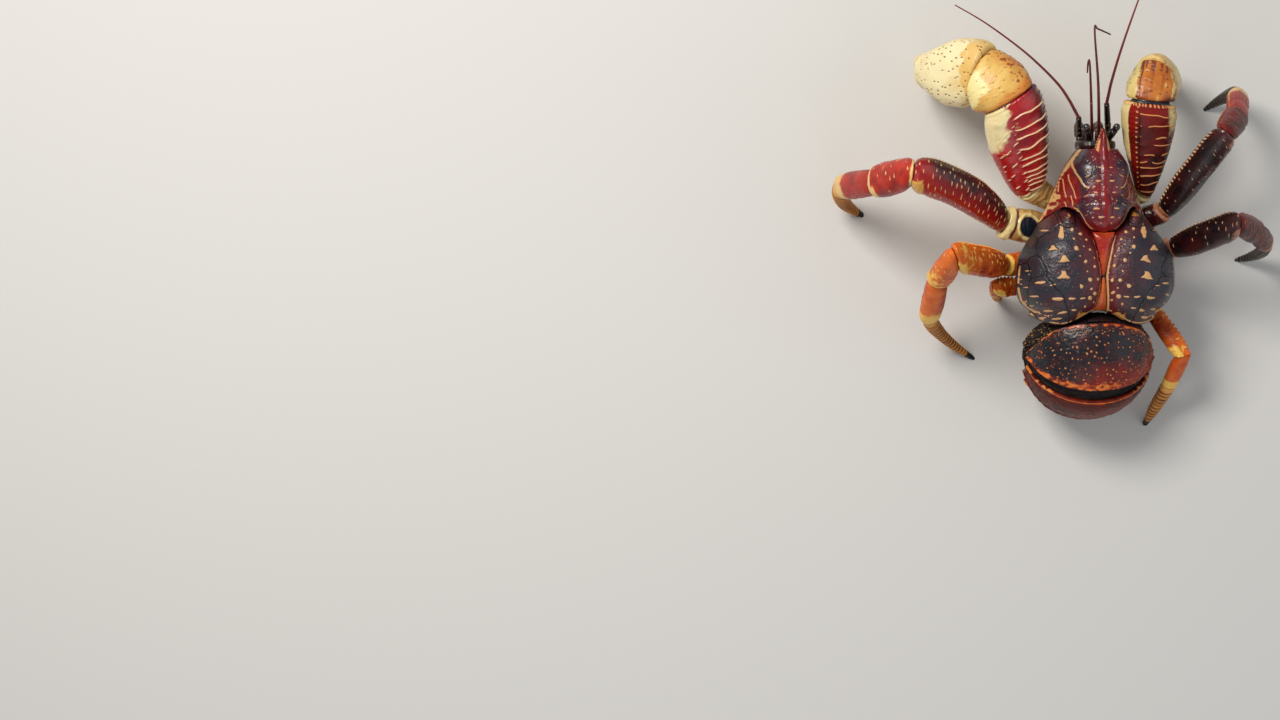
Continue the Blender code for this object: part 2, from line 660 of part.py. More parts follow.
def rostrum():
    """The pointed beak of the shield, rooted well inside it."""
    points = []
    stations = [(-47, 7.5, 91, 101.5), (-57, 5.0, 91.5, 101.5), (-61, 3.9, 92.5, 101.5),
                (-66, 2.2, 94.5, 101), (-70, 0.6, 97.5, 99)]
    for y, half, low, high in stations:
        middle = (low + high) / 2
        for side in range(8):
            angle = 2 * math.pi * side / 8
            points.append((half * math.cos(angle), y, middle + (high - low) / 2 * math.sin(angle)))
    return add_object("rostrum", points, loft_faces(len(stations), 8), (0.4, 0.04, 0.03))


def add_plate(source, name, island, colour):
    """Make one plate from one connected surface of the parted carapace."""
    mesh = source.copy()
    mesh.name = name
    keep_only(mesh, island)
    finish_mesh(mesh, colour, 0.3)
    PARTS.objects.link(bpy.data.objects.new(name, mesh))


whole = carapace_whole()
apply_boolean(whole, [rostrum()], "UNION")
mirrored = [(-x, y) for x, y in reversed(GROOVE_LINE[1:])]
walls = [wall_cutter("groove_wall", mirrored + GROOVE_LINE)]
for sign, side in ((1, "left"), (-1, "right")):
    walls.append(wall_cutter(f"cardiac_wall_{side}", [(sign * x, y) for x, y in CARDIAC_LINE]))
sockets = [socket_cutter(*cutter) for cutter in cutters]
apply_boolean(whole, sockets + walls, "DIFFERENCE")
PLATE_COLOURS = {
    "carapace_shield": (0.33, 0.03, 0.04),
    "carapace_lobe_left": (0.10, 0.07, 0.10),
    "carapace_lobe_right": (0.10, 0.07, 0.10),
    "carapace_cardiac": (0.55, 0.14, 0.04),
}
for island in find_islands(whole.data)[-4:]:
    middle = sum((whole.data.vertices[index].co for index in island), Vector()) / len(island) / MM
    if middle.y < -12:
        plate = "carapace_shield"
    elif middle.x > 10:
        plate = "carapace_lobe_left"
    elif middle.x < -10:
        plate = "carapace_lobe_right"
    else:
        plate = "carapace_cardiac"
    add_plate(whole.data, plate, island, PLATE_COLOURS[plate])
bpy.data.objects.remove(whole)

# Thorax under the carapace, with a socket for each limb
THORAX_HALF = [(-55, 12), (-40, 17), (-25, 23), (-10, 29), (10, 32), (30, 32), (45, 29), (53, 25)]
THORAX_SECTION = [(1.0, 1.0), (0.97, 0.6), (0.84, 0.25), (0.5, 0.03), (0.0, 0.0), (-0.5, 0.03),
                  (-0.84, 0.25), (-0.97, 0.6), (-1.0, 1.0), (-0.5, 1.0), (0.0, 1.0), (0.5, 1.0)]
STERNUM_LEVEL = [(-55, 50), (-40, 41), (-20, 36), (0, 34), (30, 34), (53, 38)]


def thorax():
    points = []
    stations = spread(-55.0, THORAX_REAR, 11)
    for y in stations:
        half = smooth_value(THORAX_HALF, y)
        low = smooth_value(STERNUM_LEVEL, y)
        for across, up in THORAX_SECTION:
            points.append((half * across, y, low + (THORAX_TOP - low) * up))
    made = add_object("thorax", points, loft_faces(len(stations), len(THORAX_SECTION)), (0.25, 0.07, 0.05))
    apply_boolean(made, [socket_cutter(*cutter) for cutter in cutters], "DIFFERENCE")
    keep_only(made.data, find_islands(made.data)[-1])
    finish_mesh(made.data, (0.25, 0.07, 0.05), 0.4)


thorax()

# Face under the rostrum, with a flat front that eyes, feelers and mouthparts grow from
FACE_SECTIONS = [(-56.3, 12.8, 61, 87), (-58.5, 13.4, 59, 88), (-61, 13.2, 59, 87.5),
                 (FACE_FRONT, 12.4, 60, 87)]


def face():
    points = []
    for y, half, low, high in FACE_SECTIONS:
        middle = (low + high) / 2
        for side in range(16):
            angle = 2 * math.pi * side / 16
            x = half * signed_power(math.cos(angle), 0.75)
            z = middle + (high - low) / 2 * signed_power(math.sin(angle), 0.75)
            points.append((x, y, z))
    add_object("face", points, loft_faces(len(FACE_SECTIONS), 16), (0.16, 0.06, 0.06))


face()
FRONT = Vector((0, -1, 0))
for sign, side in ((1, "left"), (-1, "right")):
    root = (sign * 6.0, FACE_FRONT, 82.5)
    neck = (sign * 9.2, -68.3, 91.0)
    tip = (sign * 11.1, -72.3, 95.2)
    axis = (Vector(tip) - Vector(neck)).normalized()
    limb_piece(f"eye_stalk_{side}", root, neck, FRONT, axis, [(0, 4.6, 4.6), (0.5, 4.0, 4.0), (1, 4.4, 4.4)],
               (1, 0, 0), (0.08, 0.02, 0.02), sides=8, stations=4, start_gap=GAP)
    limb_piece(f"eye_{side}", neck, tip, axis, axis, [(0, 4.6, 4.6), (0.45, 4.8, 4.8), (0.8, 3.4, 3.4), (1, 1.2, 1.2)],
               (1, 0, 0), (0.01, 0.01, 0.01), sides=8, stations=6)


# Feelers and mouthparts as tapered tubes
def tube(name, route, depth, taper, colour, samples=4, resolution=1):
    """A tapered tube: a short straight stub, then a smooth curve through the route."""
    line = [Vector(point) for point in route]
    padded = line + [line[-1] * 2 - line[-2]]
    path = [line[0]]
    for index in range(1, len(padded) - 2):
        p0, p1, p2, p3 = padded[index - 1:index + 3]
        for step in range(samples):
            t = step / samples
            path.append(0.5 * (2 * p1 + (p2 - p0) * t + (2 * p0 - 5 * p1 + 4 * p2 - p3) * t ** 2
                               + (3 * p1 - p0 - 3 * p2 + p3) * t ** 3))
    path.append(line[-1])
    curve = bpy.data.curves.new(name, "CURVE")
    curve.dimensions = "3D"
    curve.bevel_depth = depth * MM
    curve.bevel_resolution = resolution
    curve.use_fill_caps = True
    spline = curve.splines.new("POLY")
    spline.points.add(len(path) - 1)
    for index, point in enumerate(path):
        spline.points[index].co = (*(point * MM), 1.0)
        spline.points[index].radius = 1.0 + (taper - 1.0) * index / (len(path) - 1)
    drawn = bpy.data.objects.new(name, curve)
    PARTS.objects.link(drawn)
    depsgraph = bpy.context.evaluated_depsgraph_get()
    mesh = bpy.data.meshes.new_from_object(drawn.evaluated_get(depsgraph))
    shaper = bmesh.new()
    shaper.from_mesh(mesh)
    bmesh.ops.remove_doubles(shaper, verts=shaper.verts, dist=0.00001)
    shaper.to_mesh(mesh)
    shaper.free()
    bpy.data.objects.remove(drawn)
    mesh.name = name
    finish_mesh(mesh, colour, 0.35)
    made = bpy.data.objects.new(name, mesh)
    PARTS.objects.link(made)
    return made


FEELER_START = FACE_FRONT - GAP
ANTENNA_COLOUR = (0.18, 0.03, 0.03)
tube("antenna_peduncle_left", [(10, FEELER_START, 70), (10, -64.5, 70), (11, -68.5, 73.5), (14.2, -77, 87)],
     2.4, 0.75, ANTENNA_COLOUR)
tube("antenna_peduncle_right", [(-10, FEELER_START, 70), (-10, -64.5, 70), (-9, -69.5, 73.5), (-4.5, -86.3, 89)],
     2.4, 0.75, ANTENNA_COLOUR)
tube("antenna_flagellum_left", [(14.3, -77.3, 87.4), (22, -87.5, 96.5), (33.6, -100.4, 106), (56.9, -118.9, 120),
                                (84.9, -137.4, 130), (106.5, -149.7, 132)], 1.1, 0.35, ANTENNA_COLOUR, samples=3)
tube("antenna_flagellum_right", [(-4.4, -86.7, 89.3), (-4.3, -93, 96), (-4.6, -101.7, 104), (-7.6, -122.1, 119),
                                 (-15.5, -151.5, 131), (-26.9, -182.4, 134)], 1.1, 0.35, ANTENNA_COLOUR, samples=3)
tube("antennule_left", [(2.3, FEELER_START, 74.5), (2.3, -64, 74.5), (5.5, -74, 88), (11, -94, 110), (15.9, -112.1, 128),
                        (16.3, -112, 125), (15.2, -106, 118)], 1.2, 0.45, ANTENNA_COLOUR, samples=3)
tube("antennule_right", [(-2.3, FEELER_START, 75.5), (-2.3, -64, 75.5), (1.0, -74, 90), (7.5, -100, 116),
                         (14.8, -132.9, 138), (12, -133.5, 136), (2, -130.5, 128)], 1.2, 0.45, ANTENNA_COLOUR,
     samples=3)
for sign, side in ((1, "left"), (-1, "right")):
    tube(f"maxilliped_{side}", [(sign * 5, FEELER_START, 64), (sign * 5, -65, 64), (sign * 6.8, -73, 57),
                                (sign * 6.2, -73, 46), (sign * 4.6, -67, 37)], 3.2, 0.5, (0.22, 0.07, 0.06))

# Abdomen: a bulb round a cross axis, with plates laid over its back
ABDOMEN_RADIUS = [(-105, 39), (-90, 41), (-63, 45), (-35, 48), (0, 49), (25, 48.5), (51, 45.5), (70, 45.5),
                  (90, 47), (112, 49), (122, 46), (140, 35), (160, 28.5), (180, 26.7), (200, 26.5), (225, 28),
                  (245, 35), (255, 39)]
ABDOMEN_ANGLES = (spread(-105, 108, 26) + [111, 115, 120, 140, 155, 170, 185, 200, 215, 230, 243])
SIDE_STEP = 76 / 7
SIDE_ANGLES = [index * SIDE_STEP for index in range(-7, 8)]
REAR_FLARE = 0.6


def abdomen_point(pitch, yaw, offset):
    """A point of the bulb: pitch turns round the cross axis, yaw runs towards a side."""
    radius = smooth_value(ABDOMEN_RADIUS, pitch)
    cosine = math.cos(math.radians(yaw))
    sine = math.sin(math.radians(yaw))
    outward = Vector((0, math.cos(math.radians(pitch)), math.sin(math.radians(pitch))))
    across = Vector((1, 0, 0))
    place = outward * (radius * cosine ** 0.85) + across * (ABDOMEN_HALF_WIDTH * sine)
    normal = (outward * (cosine / radius) + across * (sine / ABDOMEN_HALF_WIDTH)).normalized()
    return ABDOMEN_CENTRE + place + normal * offset


def abdomen_front(x, z):
    """The foremost place the abdomen may reach, just behind the carapace and the thorax."""
    share = smooth_step((z - 44.0) / 8.0)
    behind_carapace = CARAPACE_REAR + rear_bend(x) + 2 * GAP
    return (THORAX_REAR + GAP) * (1 - share) + behind_carapace * share


def abdomen_skin():
    points = []
    for yaw in SIDE_ANGLES:
        for pitch in ABDOMEN_ANGLES:
            point = abdomen_point(pitch, yaw, -TERGITE_THICKNESS - GAP)
            point.y = max(point.y, abdomen_front(point.x, point.z))
            points.append(point)
    count = len(ABDOMEN_ANGLES)
    rows = len(SIDE_ANGLES)
    faces = []
    for row in range(rows - 1):
        for index in range(count):
            following = (index + 1) % count
            a = row * count
            faces.append((a + index, a + following, a + count + following, a + count + index))
    for sign, row in ((-1, 0), (1, rows - 1)):
        pole = len(points)
        points.append(ABDOMEN_CENTRE + Vector((sign * ABDOMEN_HALF_WIDTH, 0, 0)))
        for index in range(count):
            faces.append((row * count + index, row * count + (index + 1) % count, pole))
    add_object("abdomen_skin", points, faces, (0.09, 0.04, 0.04), roughness=0.6)


def tergite(name, rear, front, reach, rows, colour, rear_end=0.0, front_end=0.0):
    """A curved plate over the bulb, from a rear to a front pitch.

    It reaches a number of steps to each side, and its edges turn by rear_end and front_end
    degrees towards its two ends. The rear edge stands a little proud.
    """
    yaws = [index * SIDE_STEP for index in range(-reach, reach + 1)]
    points = []
    for lift in (TERGITE_THICKNESS, 0.0):
        for index in range(rows):
            for yaw in yaws:
                end = (abs(yaw) / yaws[-1]) ** 4
                near = rear + rear_end * end
                far = front + front_end * end
                flare = REAR_FLARE if index == 0 and lift else 0.0
                pitch = near + (far - near) * index / (rows - 1)
                points.append(abdomen_point(pitch, yaw, lift + flare - TERGITE_THICKNESS))
    count = len(yaws)
    inner = count * rows
    faces = []
    for row in range(rows - 1):
        for index in range(count - 1):
            a = row * count + index
            b = a + inner
            faces.append((a, a + 1, a + 1 + count, a + count))
            faces.append((b, b + count, b + count + 1, b + 1))
    for index in range(count - 1):
        for row in (0, rows - 1):
            a = row * count + index
            faces.append((a, a + 1, a + 1 + inner, a + inner))
    for row in range(rows - 1):
        for index in (0, count - 1):
            a = row * count + index
            faces.append((a, a + count, a + count + inner, a + inner))
    add_object(name, points, faces, colour)


abdomen_skin()
tergite("tergite_1", 113.7, 117.2, 1, 2, (0.12, 0.05, 0.06))
tergite("tergite_2", 52, 113, 7, 9, (0.16, 0.05, 0.06), rear_end=14, front_end=-29)
tergite("tergite_3", 0, 39, 7, 6, (0.24, 0.06, 0.04), rear_end=4, front_end=-3)
tergite("tergite_4", -32, -5, 6, 4, (0.22, 0.06, 0.04), rear_end=8, front_end=-3)
tergite("tergite_5", -60, -37, 5, 4, (0.20, 0.06, 0.04), rear_end=8, front_end=-4)
tergite("tail", -100, -65, 3, 5, (0.28, 0.10, 0.05), rear_end=10, front_end=-6)

# Set the whole crab over the origin: middle of its box in X and Y, floor at Z = 0
crab = bpy.data.objects.new("crab", None)
PARTS.objects.link(crab)
bpy.context.view_layer.update()
lowest = [1e9, 1e9]
highest = [-1e9, -1e9]
for made in PARTS.objects:
    if made.type != "MESH":
        continue
    for vertex in made.data.vertices:
        for axis in range(2):
            lowest[axis] = min(lowest[axis], vertex.co[axis])
            highest[axis] = max(highest[axis], vertex.co[axis])
    made.parent = crab
crab.location = (-(lowest[0] + highest[0]) / 2, -(lowest[1] + highest[1]) / 2, 0.0)
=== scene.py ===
# %% [markdown]
# # A coconut crab at life size
#
# This notebook dresses the plain solids of a coconut crab. Each solid gets a finer piece with the
# same place and size: shell plates with grooves and tubercles, ridged limbs, claws, a soft
# abdomen and feelers. All lengths in the text are millimetres, and the scene is in metres.

# %% Load the solids
import json
import math

import bmesh
import bpy
import numpy as np
from mathutils import Matrix, Vector


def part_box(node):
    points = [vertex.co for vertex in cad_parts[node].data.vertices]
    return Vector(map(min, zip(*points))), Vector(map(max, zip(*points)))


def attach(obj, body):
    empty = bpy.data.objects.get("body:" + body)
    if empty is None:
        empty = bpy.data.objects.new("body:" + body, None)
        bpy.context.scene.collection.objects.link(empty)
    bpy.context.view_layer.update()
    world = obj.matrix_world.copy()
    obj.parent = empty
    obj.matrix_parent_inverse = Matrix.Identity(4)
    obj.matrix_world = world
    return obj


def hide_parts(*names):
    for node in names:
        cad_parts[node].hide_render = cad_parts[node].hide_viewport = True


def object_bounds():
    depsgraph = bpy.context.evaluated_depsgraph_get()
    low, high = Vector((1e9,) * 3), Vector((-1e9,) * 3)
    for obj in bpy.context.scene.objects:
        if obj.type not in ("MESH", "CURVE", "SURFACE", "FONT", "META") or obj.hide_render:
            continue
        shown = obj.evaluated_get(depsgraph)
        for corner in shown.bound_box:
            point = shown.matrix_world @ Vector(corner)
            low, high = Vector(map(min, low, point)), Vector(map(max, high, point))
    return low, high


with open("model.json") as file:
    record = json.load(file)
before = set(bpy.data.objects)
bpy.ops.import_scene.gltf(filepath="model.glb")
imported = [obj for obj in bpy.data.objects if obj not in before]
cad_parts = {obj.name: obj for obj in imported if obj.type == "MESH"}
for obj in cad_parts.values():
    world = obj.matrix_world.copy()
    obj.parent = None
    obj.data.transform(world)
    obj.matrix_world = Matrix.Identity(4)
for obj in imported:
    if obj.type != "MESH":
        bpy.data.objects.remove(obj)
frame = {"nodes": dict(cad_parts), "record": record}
cad_box = [list(corner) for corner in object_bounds()]
slot_of = {row["node"]: row["material_slot"] for row in frame["record"]["subparts"]}
bpy.ops.object.select_all(action="DESELECT")
print(len(frame["nodes"]), "solids in", cad_box)

# %% [markdown]
# ## Where the middle of the body is
#
# The solids stand over the middle of their box. The body's own middle plane lies beside it, since
# one side reaches further out. It is read from the two swollen lobes, and the place of the
# groove behind the shield from the face, whose front is 62 mm before it.

# %% Find the body's own origin
MM = 0.001
FACE_FRONT = -62.0
lobe_low, lobe_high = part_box("carapace_lobe_left"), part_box("carapace_lobe_right")
middle_x = (lobe_low[1][0] + lobe_high[0][0]) / 2
middle_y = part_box("face")[0][1] - FACE_FRONT * MM
HOME = np.array([middle_x, middle_y, 0.0])
print("body origin at", HOME)

# %% [markdown]
# ## Camera
#
# The photograph looks straight down on the crab's back from about two metres, rolled 13 degrees
# about the body's length. The crab is in the upper right of the picture, so the camera is turned
# until the crab's middle falls on that place of the image.

# %% Camera
PIXEL = 0.68 * MM
CAMERA_DISTANCE = 2.0
CAMERA_ROLL = math.radians(13)
IMAGE_SIZE = (1280, 720)
AIM_HEIGHT = 0.105
AIM_PIXEL = (1105.5, 232.0)
SENSOR = 36.0
CLIP = (0.05, 20)
LAMP_AIM_HEIGHT = 0.06


def camera_matrix():
    """Turn the camera so that the aim point lies on its pixel, with the crab's length upright."""
    focal = CAMERA_DISTANCE / PIXEL
    toward = Vector((math.sin(CAMERA_ROLL), 0, math.cos(CAMERA_ROLL)))
    ray = Vector(((AIM_PIXEL[0] - IMAGE_SIZE[0] / 2) / focal,
                  -(AIM_PIXEL[1] - IMAGE_SIZE[1] / 2) / focal, -1)).normalized()
    up = Vector((0, 1, 0))
    up = (up - up.dot(ray) * ray).normalized()
    seen = Matrix((ray, up, ray.cross(up))).transposed()
    forward = -toward
    head = Vector((0, -1, 0))
    real = Matrix((forward, head, forward.cross(head))).transposed()
    place = Vector(HOME) + Vector((0, 0, AIM_HEIGHT)) + CAMERA_DISTANCE * toward
    return Matrix.Translation(place) @ (real @ seen.transposed()).to_4x4(), focal


camera_data = bpy.data.cameras.new("camera")
camera = bpy.data.objects.new("camera", camera_data)
bpy.context.scene.collection.objects.link(camera)
camera.matrix_world, focal_pixels = camera_matrix()
camera_data.sensor_width = SENSOR
camera_data.lens = focal_pixels * SENSOR / IMAGE_SIZE[0]
camera_data.clip_start, camera_data.clip_end = CLIP
bpy.context.scene.camera = camera
print("lens", round(camera_data.lens, 1))

# %% [markdown]
# ## Light and floor
#
# Sunlight in the photograph comes from the upper left. A large lamp there keeps that direction,
# and a weaker one on the other side with a bright world keeps the shadows soft.

# %% Light and floor
def area_light(name, place, size, power, colour=(1.0, 1.0, 1.0)):
    """A square lamp that shines on the crab's middle."""
    lamp = bpy.data.lights.new(name, "AREA")
    lamp.size = size
    lamp.energy = power
    lamp.color = colour
    holder = bpy.data.objects.new(name, lamp)
    bpy.context.scene.collection.objects.link(holder)
    aim = Vector(HOME) + Vector((0, 0, LAMP_AIM_HEIGHT))
    holder.location = aim + Vector(place)
    holder.rotation_euler = (aim - holder.location).to_track_quat("-Z", "Y").to_euler()


area_light("key_light", (0.75, -0.60, 1.15), 0.5, 19.0, (1.0, 0.96, 0.90))
area_light("fill_light", (-1.2, 0.3, 0.9), 1.4, 4.0, (0.92, 0.96, 1.0))
area_light("back_light", (0.2, 1.3, 0.7), 1.0, 2.5)

world = bpy.data.worlds.new("studio")
world.use_nodes = True
world.node_tree.nodes["Background"].inputs["Color"].default_value = (0.86, 0.88, 0.90, 1)
world.node_tree.nodes["Background"].inputs["Strength"].default_value = 0.32
bpy.context.scene.world = world
bpy.context.scene.view_settings.view_transform = "Standard"

bpy.ops.mesh.primitive_plane_add(size=8.0, location=(0, 0, 0))
floor = bpy.context.object
floor.name = "floor"
floor_paint = bpy.data.materials.new("floor_paint")
floor_paint.use_nodes = True
floor_paint.node_tree.nodes["Principled BSDF"].inputs["Base Color"].default_value = (0.66, 0.65, 0.63, 1)
floor_paint.node_tree.nodes["Principled BSDF"].inputs["Roughness"].default_value = 0.85
floor.data.materials.append(floor_paint)
bpy.ops.object.select_all(action="DESELECT")
print("floor and three lamps")

# %% [markdown]
# ## Shell colours
#
# A crab's shell is lacquer-like: a glossy skin over colour that runs from one tone to another,
# with pale marks on every tubercle and ridge. Four masks are written on each piece's points:
# `tone` runs from the deep to the bright shell colour, `pale` is cream skin near a joint, `mark`
# is the cream of ridges, dots and dashes, and `pit` is dark grooves and pits. One node group
# turns them into colour, and breaks their edges up with noise, so that all pieces match.

# %% Node group that paints a shell
MASKS = ("tone", "pale", "mark", "pit")
BUMP_DISTANCE = 0.0006


def paint(code):
    """A colour from its hex code, in linear light."""
    parts = [int(code[i:i + 2], 16) / 255 for i in (0, 2, 4)]
    return tuple(p / 12.92 if p <= 0.04045 else ((p + 0.055) / 1.055) ** 2.4 for p in parts) + (1.0,)


def add_node(tree, kind, **values):
    """Add a node, and set its properties by name and its inputs by name or number."""
    node = tree.nodes.new(kind)
    inputs = values.pop("inputs", {})
    for key, value in values.items():
        setattr(node, key, value)
    for key, value in inputs.items():
        node.inputs[key].default_value = value
    return node


def mix_colours(tree, factor, first, second, blend="MIX"):
    """Mix two colours by a factor; each may be a socket or a value."""
    node = add_node(tree, "ShaderNodeMix", data_type="RGBA", blend_type=blend)
    for key, value in ((0, factor), (6, first), (7, second)):
        if isinstance(value, bpy.types.NodeSocket):
            tree.links.new(value, node.inputs[key])
        else:
            node.inputs[key].default_value = value
    return node.outputs[2]


def math_node(tree, operation, values, limited=False):
    node = add_node(tree, "ShaderNodeMath", operation=operation, use_clamp=limited)
    for index, value in enumerate(values):
        if isinstance(value, bpy.types.NodeSocket):
            tree.links.new(value, node.inputs[index])
        else:
            node.inputs[index].default_value = value
    return node.outputs[0]


def noise_node(tree, vector, scale, detail=3.0, roughness=0.55):
    node = add_node(tree, "ShaderNodeTexNoise",
                    inputs={"Scale": scale, "Detail": detail, "Roughness": roughness})
    tree.links.new(vector, node.inputs["Vector"])
    return node.outputs["Fac"]


def sharpen(tree, value, low, high):
    node = add_node(tree, "ShaderNodeMapRange", interpolation_type="SMOOTHSTEP",
                    inputs={"From Min": low, "From Max": high})
    tree.links.new(value, node.inputs["Value"])
    return node.outputs["Result"]


def shell_group():
    """The node group that turns the four masks into a colour, a roughness and a relief."""
    tree = bpy.data.node_groups.new("crab_shell", "ShaderNodeTree")
    sockets = tree.interface
    for name in ("Deep", "Bright", "Pale", "Mark", "Pit"):
        sockets.new_socket(name, in_out="INPUT", socket_type="NodeSocketColor")
    for name, value in (("Mottle", 0.25), ("Roughness", 0.35), ("Grain", 0.5)):
        socket = sockets.new_socket(name, in_out="INPUT", socket_type="NodeSocketFloat")
        socket.default_value = value
    sockets.new_socket("Color", in_out="OUTPUT", socket_type="NodeSocketColor")
    sockets.new_socket("Roughness", in_out="OUTPUT", socket_type="NodeSocketFloat")
    sockets.new_socket("Height", in_out="OUTPUT", socket_type="NodeSocketFloat")
    given = tree.nodes.new("NodeGroupInput").outputs
    result = tree.nodes.new("NodeGroupOutput").inputs
    place = tree.nodes.new("ShaderNodeTexCoord").outputs["Object"]

    def add(first, second, limited=False):
        return math_node(tree, "ADD", (first, second), limited)

    def times(first, second):
        return math_node(tree, "MULTIPLY", (first, second))

    def shift(noise, reach):
        return times(math_node(tree, "SUBTRACT", (noise, 0.5)), reach)

    masks = {}
    for name in MASKS:
        node = add_node(tree, "ShaderNodeAttribute", attribute_type="GEOMETRY", attribute_name=name)
        masks[name] = node.outputs["Fac"]
    broad = noise_node(tree, place, 110.0)
    medium = noise_node(tree, place, 380.0, 4.0)
    fine = noise_node(tree, place, 1300.0, 4.0, 0.65)
    broad_shift = shift(broad, 0.9)
    medium_shift = shift(medium, 0.5)
    tone = add(add(masks["tone"], broad_shift), medium_shift, limited=True)
    colour = mix_colours(tree, tone, given["Deep"], given["Bright"])
    mottle = times(sharpen(tree, medium, 0.35, 0.75), given["Mottle"])
    colour = mix_colours(tree, mottle, colour, given["Pit"])
    pale = add(add(masks["pale"], medium_shift), broad_shift)
    colour = mix_colours(tree, sharpen(tree, pale, 0.25, 0.75), colour, given["Pale"])
    fine_shift = shift(fine, 0.5)
    mark = sharpen(tree, add(masks["mark"], fine_shift), 0.3, 0.62)
    colour = mix_colours(tree, mark, colour, given["Mark"])
    pit = sharpen(tree, add(masks["pit"], fine_shift), 0.3, 0.7)
    colour = mix_colours(tree, pit, colour, given["Pit"])
    colour = mix_colours(tree, 1.0, colour, add(times(fine, 0.35), 0.82), "MULTIPLY")
    tree.links.new(colour, result["Color"])
    rough = add(given["Roughness"], times(medium_shift, 0.5))
    tree.links.new(add(rough, times(mark, 0.16), limited=True), result["Roughness"])
    pores = add_node(tree, "ShaderNodeTexVoronoi", feature="SMOOTH_F1",
                     inputs={"Scale": 900.0, "Smoothness": 0.6})
    tree.links.new(place, pores.inputs["Vector"])
    grain = times(pores.outputs["Distance"], given["Grain"])
    tree.links.new(add(grain, times(fine, 0.6)), result["Height"])
    return tree


SHELL = shell_group()


def shell_material(name, deep, bright, pale="E8D49A", mark="EBD8A8", pit="1A0E0E", mottle=0.25,
                   roughness=0.32, grain=0.5, bump=0.25, coat=0.35, specular=0.5):
    """A shell finish with its own colours, from the shared group."""
    material = bpy.data.materials.new(name)
    material.use_nodes = True
    tree = material.node_tree
    shader = tree.nodes["Principled BSDF"]
    group = add_node(tree, "ShaderNodeGroup", node_tree=SHELL)
    for key, code in (("Deep", deep), ("Bright", bright), ("Pale", pale), ("Mark", mark), ("Pit", pit)):
        group.inputs[key].default_value = paint(code)
    group.inputs["Mottle"].default_value = mottle
    group.inputs["Roughness"].default_value = roughness
    group.inputs["Grain"].default_value = grain
    relief = add_node(tree, "ShaderNodeBump", inputs={"Strength": bump, "Distance": BUMP_DISTANCE})
    tree.links.new(group.outputs["Color"], shader.inputs["Base Color"])
    tree.links.new(group.outputs["Roughness"], shader.inputs["Roughness"])
    tree.links.new(group.outputs["Height"], relief.inputs["Height"])
    tree.links.new(relief.outputs["Normal"], shader.inputs["Normal"])
    shader.inputs["Coat Weight"].default_value = coat
    shader.inputs["Coat Roughness"].default_value = 0.18
    shader.inputs["Specular IOR Level"].default_value = specular
    return material


